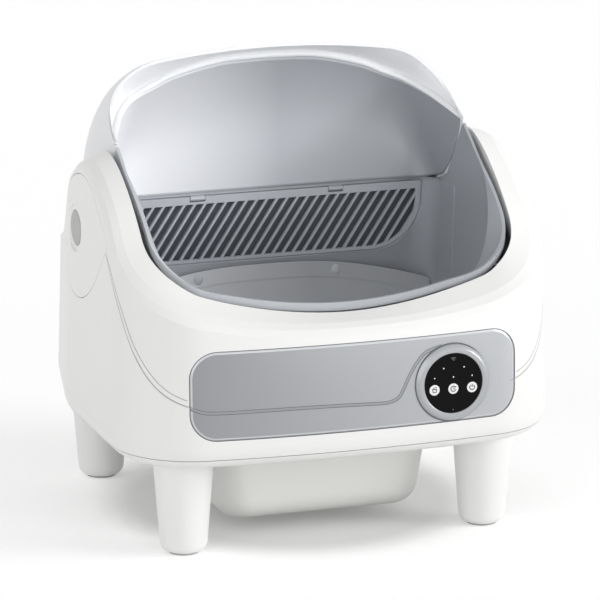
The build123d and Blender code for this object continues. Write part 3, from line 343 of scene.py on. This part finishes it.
# Side covers and release buttons: each cover closes the drum's axle in the flank,
# and a round button in a dished recess presses on a switch behind it.
dress(white_abs, "side_cover_left", "side_cover_right")
dress(dark_abs, "button_cup_left", "button_cup_right", "button_switch_left", "button_switch_right")
# Button ABS: a plain mid grey that sets the button off from the white cover.
button_abs = moulded("button_abs", "#B9B9B7", "#B4B4B2", 0.4)
dress(button_abs, "release_button_left", "release_button_right")

# Front panel: a plate painted silver that snaps into a recess in the front, with a bevelled edge
# and a curved groove. It follows the shallow arc of the front.
FRONT_Y, FRONT_RADIUS, FRONT_HALF, FRONT_WRAP = -266.0, 1488.56, 184.1, 60.0
PANEL_HALF, PANEL_LOW, PANEL_TOP, PANEL_CORNER, PANEL_EDGE = 206.0, 156.0, 265.0, 33.0, 3.7
PANEL_MIDDLE, PANEL_HALF_HIGH = (PANEL_TOP + PANEL_LOW) / 2, (PANEL_TOP - PANEL_LOW) / 2
QUARTER_STEPS, EDGE_STEPS, PLATE_ROWS, PLATE_COLUMNS, PLATE_SUNK = 13, 60, 49, 141, 0.2
BEVEL_INSETS, BEVEL_DEPTHS = [0.4, 1.6, 2.8, PANEL_EDGE - 0.5, PANEL_EDGE], [1.5, 0.95, 0.4, 0.22, PLATE_SUNK]
RIM_INSETS, RIM_DEPTHS = [-0.1, 0.9], [0.45, 0.45]
GROOVE_STEPS, GROOVE_RIMS, GROOVE_RIM_SUNK = 160, ((-2.2, -1.4), (1.5, 2.2)), 0.1
GROOVE_FLOOR, GROOVE_SUNK = (-1.5, 0, 1.6), 0.14
GROOVE_POINTS = [(-204.5, 197), (-190, 192), (-172, 190.4), (-125, 190.3), (-78, 190.2), (-31, 189.6),
                 (18, 188), (37, 187.8), (50, 192), (57, 202), (65, 218), (75, 233.6), (87, 245), (107, 250.6)]


def painted_light_ramp(material, start, end):
    """Painted light and shade: the tone runs along X, from the second code at the start
    to the first at the end, as the lamps would make it fall across the surface."""
    tree = material.node_tree
    tone = next(node for node in tree.nodes if node.type == "MIX")
    place = next(node for node in tree.nodes if node.type == "TEX_COORD").outputs["Object"]
    along = add(tree, "ShaderNodeSeparateXYZ", Vector=place)
    share = add(tree, "ShaderNodeMapRange", {"From Min": start, "From Max": end}, Value=along.outputs["X"])
    tree.links.new(share.outputs["Result"], tone.inputs["Factor"])


def front_point(x, z, sunk):
    """Point on the body's front: a shallow arc that runs into the corners, drawn in by the draft, and sunk."""
    wide = np.abs(x)
    shallow = FRONT_Y + FRONT_RADIUS - np.sqrt(FRONT_RADIUS ** 2 - np.minimum(wide, FRONT_HALF) ** 2)
    turned = CORNER_Y - np.sqrt(CORNER_RADIUS ** 2 - np.clip(wide - CORNER_X, 0, FRONT_WRAP) ** 2)
    y = np.where(wide < FRONT_HALF, shallow, turned) + DRAFT * (z - SKIRT_Z) + sunk
    return np.stack([x + 0 * y, y, z + 0 * y], axis=-1)


def panel_outline(inset):
    """Closed outline of the panel in X and Z, drawn in: straight sides and four round corners."""
    turn = np.radians(np.linspace(0, 90, QUARTER_STEPS))
    radius = PANEL_CORNER - inset
    middle_x, middle_z = PANEL_HALF - PANEL_CORNER, PANEL_HALF_HIGH - PANEL_CORNER
    quarter = np.column_stack([middle_x + radius * np.cos(turn), middle_z + radius * np.sin(turn)])
    top_x = np.linspace(middle_x, -middle_x, EDGE_STEPS)[1:-1]
    top = np.column_stack([top_x, np.full(len(top_x), middle_z + radius)])
    half = np.vstack([quarter, top, quarter[::-1] * [-1, 1]])
    return np.vstack([half, -half]) + [0, PANEL_MIDDLE]


def panel_ring(insets, depths):
    """Grid of points round the panel, one column for each inset and depth."""
    loops = [panel_outline(inset) for inset in insets]
    columns = [front_point(loop[:, 0], loop[:, 1], depth) for loop, depth in zip(loops, depths)]
    return np.stack(columns, axis=1)


# Silver paint: metal flake, with painted light and shade: darker at the left end and lighter round the dial.
silver_paint = moulded("silver_paint", "#BEC0C3", "#989A9E", 0.36, metallic=0.35)
painted_light_ramp(silver_paint, -0.205, 0.205)
plate_half, plate_corner = PANEL_HALF_HIGH - PANEL_EDGE, PANEL_CORNER - PANEL_EDGE
rise = plate_half * np.sin(np.linspace(-np.pi / 2, np.pi / 2, PLATE_ROWS))[:, None]
round_in = np.clip(np.abs(rise) - (plate_half - plate_corner), 0, plate_corner)
row_half = PANEL_HALF - PANEL_CORNER + np.sqrt(plate_corner ** 2 - round_in ** 2)
plate = front_point(row_half * np.linspace(-1, 1, PLATE_COLUMNS)[None, :], PANEL_MIDDLE + rise, PLATE_SUNK)
piece = mesh_piece("panel_plate", *grid_sheet(plate, turned=True), silver_paint, "base", "panel_grey")
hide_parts("front_panel")
# Bright silver: the same paint made lighter on the bevel, a painted highlight that shows as a pale line.
bevel_painted_highlight = moulded("bevel_painted_highlight", "#D2D4D7", "#CCCED1", 0.30, metallic=0.4)
bevel = panel_ring(BEVEL_INSETS, BEVEL_DEPTHS)
mesh_piece("panel_bevel", *grid_sheet(bevel, closed=True), bevel_painted_highlight, "base", "panel_grey")
rims = [grid_sheet(panel_ring(RIM_INSETS, RIM_DEPTHS), closed=True)]
groove_line = smooth_curve(GROOVE_POINTS, GROOVE_STEPS)
slope = directions(groove_line)
across_groove = np.column_stack([-slope[:, 1], slope[:, 0]])
for rim in GROOVE_RIMS:
    sides = [front_point(*(groove_line + off * across_groove).T, GROOVE_RIM_SUNK) for off in rim]
    rims.append(grid_sheet(np.stack(sides, axis=1)))
# Groove silver: the panel's paint made a little darker than the plate, painted shade in the groove.
groove_painted_shade = moulded("groove_painted_shade", "#9C9EA2", "#97999D", 0.4, metallic=0.35)
lanes = [front_point(*(groove_line + off * across_groove).T, GROOVE_SUNK) for off in GROOVE_FLOOR]
mesh_piece("panel_groove", *grid_sheet(np.stack(lanes, axis=1)), groove_painted_shade, "base", "panel_grey")

# Dial: a turned ring round a black touch glass, with three round keys, five lamps
# and faint signs above and below, all printed on the glass.
DIAL_X, DIAL_Z, DIAL_STEPS = 120, 205, 120
RING_RADIUS = np.array([37.0, 37.1, 37.5, 38.2, 38.4, 42.2, 42.5, 43.2, 46.4, 46.8, 47.0, 47.0])
RING_Y = np.array([-262.6, -264.4, -265.1, -265.4, -265.4, -265.4,
                   -265.4, -265.0, -262.0, -261.4, -260.6, -256.5])
DIAL_GAP, DIAL_GAP_SUNK = (46.6, 48.3), 0.05
KEY_APART, KEY_Z, KEY_RADIUS, KEY_PROUD, DISC_STEPS = 24, DIAL_Z - 7, 6.5, 0.25, 40
INK_PROUD, GLYPH_PROUD, MARK_LINE, GLYPH_LINE, FINE_LINE, BARB_LINE = 0.15, 0.42, 0.9, 0.95, 0.8, 1.1
LAMP_SPOTS = [(-24, 7.6, 0.85), (0, 7.6, 0.85), (24, 7.6, 0.85), (-12.5, 19, 0.9), (13.5, 19, 0.9)]
WAVE_RADII, WAVE_RISE, DOT_DROP, DOT_RADIUS = (1.4, 3.0, 4.6), 27, 33, 0.9
BOX_PATH = [(-2.2, 0.6), (-2.2, -2.2), (-1.6, -2.8), (1.6, -2.8), (2.2, -2.2), (2.2, 0.6)]
LID_PATH = [(-3.0, 1.2), (0, 1.2), (3.0, 1.2)]
HANDLE_PATH = [(-1.3, 1.3), (-1.2, 2.8), (0.2, 3.1), (2.6, 3.6)]
BARB_PATH, HANDS_PATH = [(1.0, 1.2), (2.4, 2.1), (3.7, 2.6)], [(0, 1.4), (0, 0), (1.7, -0.4)]
POWER_PATH = [(0, 0.6), (0, 2.2), (0, 4.0)]
ARC_STEPS, WAVE_ARC, CYCLE_ARC, POWER_ARC = 32, (48, 132), (60, 345), (128, 412)
CYCLE_RADIUS, POWER_RADIUS = 3.2, 3.1
glass_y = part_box("touch_glass")[0][1] * 1000


def key_disc(x, z, radius, proud):
    """Low printed disc on the glass: a polar grid, level in the middle, with a rounded edge at the rim."""
    turn = np.linspace(0, 2 * np.pi, DISC_STEPS, endpoint=False)[:, None]
    share = np.array([0, 0.5, 0.9, 0.97, 1.0, 1.0])[None, :]
    rise = proud * np.array([1, 1, 1, 0.8, 0.35, -0.2])[None, :]
    disc_x, disc_z = x + radius * share * np.cos(turn), z + radius * share * np.sin(turn)
    return grid_sheet(np.stack([disc_x, glass_y - rise + 0 * turn, disc_z], axis=-1), closed=True, turned=True)


def stroke(x, z, path, width, proud):
    """Flat line on the glass: a path offset to both sides by half its width."""
    path = np.asarray(path, float)
    along = directions(path)
    side = np.column_stack([-along[:, 1], along[:, 0]]) * width / 2
    flat = np.stack([path - side, path + side], axis=1)
    level_y = np.full(flat.shape[:2], glass_y - proud)
    return grid_sheet(np.stack([x + flat[..., 0], level_y, z + flat[..., 1]], axis=-1))


def arc_path(radius, start, end):
    """Arc about the middle, from one angle to another in degrees."""
    turn = np.radians(np.linspace(start, end, ARC_STEPS))
    return np.column_stack([radius * np.cos(turn), radius * np.sin(turn)])


# Black glass: almost black, with a weak clear reflection.
black_glass = moulded("black_glass", "#050505", "#040404", 0.14)
black_glass.node_tree.nodes["Principled BSDF"].inputs["Specular IOR Level"].default_value = 0.12
dress(black_glass, "touch_glass")
# Ring silver: satin metal paint, which rings the glass with a soft sheen.
ring_silver = moulded("ring_silver", "#B3B5B8", "#AEB0B3", 0.30, metallic=0.5, depth=0.01)
turn = np.linspace(0, 2 * np.pi, DIAL_STEPS, endpoint=False)[:, None]
ring_x, ring_z = DIAL_X + RING_RADIUS * np.cos(turn), DIAL_Z + RING_RADIUS * np.sin(turn)
ring = np.stack([ring_x, RING_Y + 0 * turn, ring_z], axis=-1)
piece = mesh_piece("dial_ring", *grid_sheet(ring, closed=True, turned=True), ring_silver, "base", "ring_grey")
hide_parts("dial_bezel")
circle_x, circle_z = np.cos(turn[:, 0]), np.sin(turn[:, 0])
gap_rings = [front_point(DIAL_X + radius * circle_x, DIAL_Z + radius * circle_z, DIAL_GAP_SUNK)
             for radius in DIAL_GAP]
rims.append(grid_sheet(np.stack(gap_rings, axis=1), closed=True, turned=True))
# Groove shadow: the dark grey that stands in the gaps round the panel, the groove and the dial.
groove_shadow = moulded("groove_shadow", "#6B6D71", "#626468", 0.6)
mesh_piece("panel_shadow_lines", *joined(rims), groove_shadow, "base", "panel_grey")
keys = [key_disc(DIAL_X + x, KEY_Z, KEY_RADIUS, KEY_PROUD) for x in (-KEY_APART, 0, KEY_APART)]
keys += [key_disc(DIAL_X + x, DIAL_Z + z, radius, INK_PROUD) for x, z, radius in LAMP_SPOTS]
# White ink: opaque and half matt, the brightest spots on the glass.
key_ink_white = moulded("key_ink_white", "#F4F4F4", "#EEEEEE", 0.4)
mesh_piece("touch_keys", *joined(keys), key_ink_white, "base", "button_white")
waves = [arc_path(radius, *WAVE_ARC) for radius in WAVE_RADII]
marks = [stroke(DIAL_X, DIAL_Z + WAVE_RISE, wave, MARK_LINE, INK_PROUD) for wave in waves]
marks += [key_disc(DIAL_X, DIAL_Z - DOT_DROP, DOT_RADIUS, INK_PROUD)]
# Grey ink: signs that are not lit, just readable on the black.
key_ink_grey = moulded("key_ink_grey", "#5A5A5A", "#525252", 0.4)
mesh_piece("touch_marks", *joined(marks), key_ink_grey, "base", "button_white")
glyphs = [stroke(DIAL_X - KEY_APART, KEY_Z, BOX_PATH, MARK_LINE, GLYPH_PROUD),
          stroke(DIAL_X - KEY_APART, KEY_Z, LID_PATH, MARK_LINE, GLYPH_PROUD),
          stroke(DIAL_X - KEY_APART, KEY_Z, HANDLE_PATH, FINE_LINE, GLYPH_PROUD),
          stroke(DIAL_X, KEY_Z, arc_path(CYCLE_RADIUS, *CYCLE_ARC), GLYPH_LINE, GLYPH_PROUD),
          stroke(DIAL_X, KEY_Z, BARB_PATH, BARB_LINE, GLYPH_PROUD),
          stroke(DIAL_X, KEY_Z, HANDS_PATH, FINE_LINE, GLYPH_PROUD),
          stroke(DIAL_X + KEY_APART, KEY_Z, arc_path(POWER_RADIUS, *POWER_ARC), GLYPH_LINE, GLYPH_PROUD),
          stroke(DIAL_X + KEY_APART, KEY_Z, POWER_PATH, GLYPH_LINE, GLYPH_PROUD)]
# Black ink: the signs on the white keys.
key_ink_black = moulded("key_ink_black", "#17181A", "#131416", 0.4)
mesh_piece("touch_glyphs", *joined(glyphs), key_ink_black, "base", "black_glass")

# Drum, lower half: a bowl moulded in silver grey ABS with a raised lip, lined with a silicone mat
# that has a raised hem at its rear edge, where two snaps hold it.
AXIS_Y, AXIS_Z, BARREL_RADIUS, BARREL_FALL, BARREL_TURN = 14.0, 364.0, 206.0, 2025.0, np.radians(8.475)
END_X, END_FLAT, END_ROUND, MAT_INSIDE = 136.0, 107.9, 88.0, 3.5
FLOOR_Y, FLOOR_Z, FLOOR_RADIUS, MAT_THICK = -66.0, 300.0, 150.0, 2.0
MAT_HALF, MAT_FRONT_Y, MAT_REAR_Y, MAT_CURVE = 219.0, 2.0, 83.0, 8.0
HEM_WIDTH, HEM_RISE, HEM_STEP, HEM_SHARE = 20.0, 0.8, 1.5, 0.72
SNAP_X, SNAP_DOWN, SNAP_RADIUS, SNAP_RISE, SNAP_SUNK, SNAP_STEPS = 91.0, 9.5, 6.2, 2.2, 0.2, 32


def drum_half(y, z, inside):
    """Half width of the drum through a point off its axis, drawn in: flat ends, round corners,
    then the barrel."""
    off_axis, corner = np.hypot(y - AXIS_Y, z - AXIS_Z), END_ROUND - inside
    barrel = np.sqrt(np.clip((BARREL_RADIUS - inside - off_axis) * BARREL_FALL, 0, None))
    rounded = END_X + np.sqrt(np.clip(corner ** 2 - np.clip(off_axis - END_FLAT, 0, None) ** 2, 0, None))
    return np.where(off_axis > END_FLAT + corner * np.cos(BARREL_TURN), barrel, rounded)


def mat_rear_turn(x):
    """Angle of the mat's rear edge about the floor's axis; the edge comes forward to the sides by a cubic."""
    rear_y = MAT_REAR_Y - MAT_CURVE * (np.abs(x) / MAT_HALF) ** 3
    return np.arcsin((rear_y - FLOOR_Y) / FLOOR_RADIUS)


def walled(piece, thick):
    """Give an open sheet a wall on its far side, in millimetres."""
    wall = piece.modifiers.new("wall", "SOLIDIFY")
    wall.thickness, wall.offset = thick / 1000, -1


# Drum silver: satin ABS with fine flake, and painted light: paler on the side that the key reaches, darker to
# the right.
drum_silver = moulded("drum_silver", "#A9ACB1", "#C6C9CE", 0.42, metallic=0.2)
painted_light_ramp(drum_silver, -0.20, 0.12)
dress(drum_silver, "bowl", "sieve_clips")
# Silicone: matt and soft, without a clear highlight, with painted light and shade: pale at the left, darker to
# the right.
mat_silicone = moulded("mat_silicone", "#B0B2B5", "#E2E3E5", 0.6)
painted_light_ramp(mat_silicone, -0.16, 0.06)
across = np.linspace(-MAT_HALF, MAT_HALF, 97)[:, None]
share = np.concatenate([np.linspace(0, HEM_SHARE, 26)[:-1], np.linspace(HEM_SHARE, 1, 40)])[None, :]
front_turn = np.arcsin((MAT_FRONT_Y - FLOOR_Y) / FLOOR_RADIUS)
rear_turn = mat_rear_turn(across)
mat_turn = front_turn + (rear_turn - front_turn) * share
hem = np.clip((HEM_WIDTH - FLOOR_RADIUS * (rear_turn - mat_turn)) / HEM_STEP + 0.5, 0, 1)
mat_radius = FLOOR_RADIUS - HEM_RISE * hem * hem * (3 - 2 * hem)
mat_y, mat_z = FLOOR_Y + mat_radius * np.sin(mat_turn), FLOOR_Z - mat_radius * np.cos(mat_turn)
mat_x = across / MAT_HALF * np.minimum(MAT_HALF, drum_half(mat_y, mat_z, MAT_INSIDE))
mat = np.stack([mat_x, mat_y, mat_z], axis=-1)
piece = mesh_piece("silicone_mat", *grid_sheet(mat), mat_silicone, "drum", "mat_grey")
walled(piece, MAT_THICK)
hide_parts("litter_mat")
around = np.linspace(0, 2 * np.pi, SNAP_STEPS, endpoint=False)[:, None]
dome = np.radians(np.array([0, 25, 45, 62, 78, 90]))[None, :]
snap_turn = mat_rear_turn(SNAP_X) - SNAP_DOWN / FLOOR_RADIUS
snap_up = np.array([0, -np.sin(snap_turn), np.cos(snap_turn)])
snap_back = np.array([0, np.cos(snap_turn), np.sin(snap_turn)])
snap_base = np.array([0, FLOOR_Y, FLOOR_Z]) - (FLOOR_RADIUS - HEM_RISE + SNAP_SUNK) * snap_up
dome_x = SNAP_RADIUS * np.sin(dome) * np.cos(around)
dome_back = SNAP_RADIUS * np.sin(dome) * np.sin(around)
dome_rise = SNAP_RISE * np.cos(dome) + 0 * around
snap = snap_base + dome_back[..., None] * snap_back + dome_rise[..., None] * snap_up
sideways = np.array([1.0, 0, 0])
placed = [snap + (dome_x + x)[..., None] * sideways for x in (-SNAP_X, SNAP_X)]
# Nylon: a harder, slightly glossy grey than the mat round it.
snap_nylon = moulded("snap_nylon", "#C4C6C9", "#BEC0C3", 0.4)
domes = joined([grid_sheet(one, closed=True, turned=True) for one in placed])
piece = mesh_piece("mat_snap_domes", *domes, snap_nylon, "drum", "mat_grey")
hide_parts("mat_snaps")

# Sieve: a moulded grey grid of leaning bars, hung on two clips and leaning back a little,
# with a dark sheet behind it in the same D shape: painted shade that darkens the slots.
SIEVE_TOP_Y, SIEVE_TOP_Z, SIEVE_LEAN = 80.0, 376.0, np.radians(4.0)
SHADE_SHEET_BEHIND, SHADE_SHEET_HALF, SHADE_SHEET_TOP, SHADE_SHEET_FOOT = 7.0, 200.0, -4.0, -84.0
SHADE_SHEET_STRAIGHT, SHADE_SHEET_LIFT = 140.0, 0.72
# Sieve ABS: a light satin grey that stands out from the dark net.
sieve_abs = moulded("sieve_abs", "#BFC2C7", "#BABDC2", 0.42)
dress(sieve_abs, "sieve")
across = np.linspace(-SHADE_SHEET_HALF, SHADE_SHEET_HALF, 81)[:, None]
down = np.linspace(SHADE_SHEET_TOP, SHADE_SHEET_FOOT, 21)[None, :]
corner = np.clip((np.abs(across) - SHADE_SHEET_STRAIGHT) / (SHADE_SHEET_HALF - SHADE_SHEET_STRAIGHT), 0, 1)
down = down * (1 - SHADE_SHEET_LIFT * (1 - np.sqrt(1 - corner ** 2)) * (down / SHADE_SHEET_FOOT))
shade_sheet_y = SIEVE_TOP_Y - down * np.sin(SIEVE_LEAN) + SHADE_SHEET_BEHIND * np.cos(SIEVE_LEAN)
shade_sheet_z = SIEVE_TOP_Z + down * np.cos(SIEVE_LEAN) + SHADE_SHEET_BEHIND * np.sin(SIEVE_LEAN)
shade_sheet = np.stack([across + 0 * down, shade_sheet_y, shade_sheet_z], axis=-1)
# Painted shade: a coarse matt dark grey sheet in the slots between the bars, for the shade of the hollow
# behind them.
sieve_painted_shade = moulded("sieve_painted_shade", "#63676D", "#575B61", 0.8, grain_mm=1.6, depth=0.6)
mesh_piece("sieve_shade_sheet", *grid_sheet(shade_sheet, turned=True), sieve_painted_shade, "drum", "dark_plastic")

# Rear wall of the bowl: the frame round the sieve, moulded as one sheet that bends into the side walls
# and stays inside the drum's rounded ends.
SIEVE_HALF, SIEVE_HIGH, SIEVE_CORNER, SIEVE_GAP, SIEVE_SHOULDER = 205.0, 86.0, 65.0, 0.8, 10.0
WALL_FLAT, WALL_BEND, WALL_BACK, WALL_SIDE, WALL_ABOVE, WALL_BELOW = 188.0, 34.45, 3.2, 285.0, 5.0, 75.0
WALL_INSIDE, WALL_THICK, WALL_COLUMNS = 2.0, 1.2, 24


def on_rear_wall(along, up):
    """Point of the wall: a leaning plane, a quarter bend at each end, then straight on along the side wall."""
    side, past = np.sign(along), np.abs(along) - WALL_FLAT
    bend = np.clip(past / WALL_BEND, 0, np.pi / 2)
    straight = np.clip(past - WALL_BEND * np.pi / 2, 0, None)
    x = side * (np.minimum(np.abs(along), WALL_FLAT) + WALL_BEND * np.sin(bend))
    forward = WALL_BEND * (1 - np.cos(bend)) + straight
    y = SIEVE_TOP_Y + WALL_BACK - up * np.sin(SIEVE_LEAN) - forward
    return np.stack([x, y, SIEVE_TOP_Z + up * np.cos(SIEVE_LEAN)], axis=-1)


turn = np.radians(np.linspace(0, 90, 14))
corner_x = SIEVE_HALF - SIEVE_CORNER * (1 - np.cos(turn))
corner_up = SIEVE_CORNER * (1 - np.sin(turn)) - SIEVE_HIGH
top_x = np.linspace(0, SIEVE_HALF, 22)[:-1]
foot_x = np.linspace(SIEVE_HALF - SIEVE_CORNER, 0, 16)[1:]
half_x = np.concatenate([top_x, [SIEVE_HALF, SIEVE_HALF], corner_x, foot_x])
half_up = np.concatenate([0 * top_x, [0, -SIEVE_SHOULDER], corner_up, np.full(len(foot_x), -SIEVE_HIGH)])
half_hole = np.column_stack([half_x, half_up])
hole = np.vstack([half_hole, half_hole[-2:0:-1] * [-1, 1]])
hole_middle, hole_half = np.array([0, -SIEVE_HIGH / 2]), np.array([SIEVE_HALF, SIEVE_HIGH / 2])
boxed = (hole - hole_middle) / hole_half
boxed = boxed / np.abs(boxed).max(axis=1)[:, None]
hole = hole_middle + (hole - hole_middle) * (1 + SIEVE_GAP / hole_half)
high = SIEVE_HIGH / 2 + np.where(boxed[:, 1] > 0, WALL_ABOVE, WALL_BELOW)
outer = hole_middle + boxed * np.column_stack([np.full(len(boxed), WALL_SIDE), high])
share = np.linspace(0, 1, WALL_COLUMNS)[None, :, None]
sheet = hole[:, None] * (1 - share) + outer[:, None] * share
wall = on_rear_wall(sheet[..., 0], sheet[..., 1])
end_limit = drum_half(wall[..., 1], wall[..., 2], WALL_INSIDE)
wall[..., 0] = np.clip(wall[..., 0], -end_limit, end_limit)
piece = mesh_piece("bowl_rear_wall", *grid_sheet(wall, closed=True), drum_silver, "drum", "drum_grey")
walled(piece, WALL_THICK)
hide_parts("sieve_frame")

# Hood: the outer shell is a CAD piece. Its front edge runs over a pale crescent to a rolled arch,
# and behind the arch a deep silver liner runs down to the sieve.
HOOD_STEPS, HOOD_WALL, BARREL_END = 90, 2.0, 140.0
EDGE_Y, EDGE_BACK, EDGE_TURN = 50.2, 36.0, np.radians(46.4)
EDGE_SIDE = [(217, 33, 509), (223.5, 5, 486), (224.3, -17, 469.5)]
ARCH_POINTS = [(0, 76, 546.5), (61, 76, 543.8), (118, 76, 530.8), (147, 75, 518.7), (175, 67, 507.7),
               (197, 43, 495), (212, 14, 482), (221, -8, 473), (224, -16, 469)]
FOOT_POINTS = [(0, 80, 381), (100, 80, 381), (180, 79.5, 381), (205, 76, 381), (217, 65, 385),
               (221.5, 45, 391), (222, 20, 413), (222.3, 0, 441), (223, -16, 467)]
ROLL_RADIUS, ROLL_FOOT_Z, ROLL_GROWTH, ROLL_LEAST = 4.2, 469, 12, 0.2
ROLL_SPREAD, ROLL_CENTRE, ROLL_BACK = [0.6, 0, 1], [0, 0, 430], [0, 1.5, 0]
CRESCENT_BULGE, LINER_HOLLOW = np.array([0, -2.0, 1.0]), np.array([0, 14.0, 0])


def both_sides(half):
    """A right half that starts on the middle plane, joined with its mirror image."""
    return np.vstack([half[:0:-1] * [-1, 1, 1], half])


# Hood ABS: a cool near-white with a soft gloss, brightest along the roll.
hood_abs = moulded("hood_abs", "#F0F1F3", "#EDEEF0", 0.34)
dress(hood_abs, "hood_shell")
turn = np.linspace(BARREL_TURN, EDGE_TURN, 12)
middle_x = np.linspace(0, BARREL_END, 8)[:-1]
edge_x = np.concatenate([middle_x, END_X + END_ROUND * np.sin(turn)])
edge_r = np.concatenate([BARREL_RADIUS - middle_x ** 2 / BARREL_FALL, END_FLAT + END_ROUND * np.cos(turn)])
edge_z = AXIS_Z + np.sqrt(edge_r ** 2 - EDGE_BACK ** 2)
edge_top = np.column_stack([edge_x, np.full(len(edge_x), EDGE_Y), edge_z])
edge = both_sides(smooth_curve(np.vstack([edge_top, EDGE_SIDE]), HOOD_STEPS))
arch = both_sides(smooth_curve(ARCH_POINTS, HOOD_STEPS))
foot = both_sides(smooth_curve(FOOT_POINTS, HOOD_STEPS))
outward = arch * ROLL_SPREAD - ROLL_CENTRE
outward = outward / np.linalg.norm(outward, axis=1)[:, None]
roll_radius = ROLL_RADIUS * np.clip((arch[:, 2:] - ROLL_FOOT_Z) / ROLL_GROWTH, ROLL_LEAST, 1)
roll_middle = arch + roll_radius * outward + ROLL_BACK
turn = np.linspace(0, np.pi, 12)[None, 1:, None]
round_roll = np.cos(turn) * outward[:, None] - np.sin(turn) * np.array([0, 1.0, 0])
roll = roll_middle[:, None] + roll_radius[:, None] * round_roll
band_end = roll_middle + roll_radius * outward
share = np.linspace(0, 1, 13)[None, :, None]
crescent = edge[:, None] * (1 - share) + band_end[:, None] * share
crescent = crescent + CRESCENT_BULGE * (4 * share * (1 - share))
crescent = np.concatenate([crescent, roll], axis=1)
piece = mesh_piece("hood_crescent", *grid_sheet(crescent, turned=True), hood_abs, "drum", "hood_grey")
walled(piece, HOOD_WALL)
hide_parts("hood_bezel")
share = np.linspace(0, 1, 40)[None, :, None]
sideways = np.abs(np.linspace(-1, 1, len(arch)))[:, None, None]
hollow = 4 * share * (1 - share) * (1 - sideways ** 2)
liner = arch[:, None] * (1 - share) + foot[:, None] * share + hollow * LINER_HOLLOW
# Liner silver: satin flake paint, with painted light and shade that runs from near-white at the left to mid
# grey at the right.
liner_silver = moulded("liner_silver", "#A6A9AE", "#ECEDF0", 0.45, metallic=0.25)
painted_light_ramp(liner_silver, -0.215, 0.02)
piece = mesh_piece("hood_lining", *grid_sheet(liner, turned=True), liner_silver, "drum", "drum_grey")
walled(piece, HOOD_WALL)
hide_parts("hood_liner")
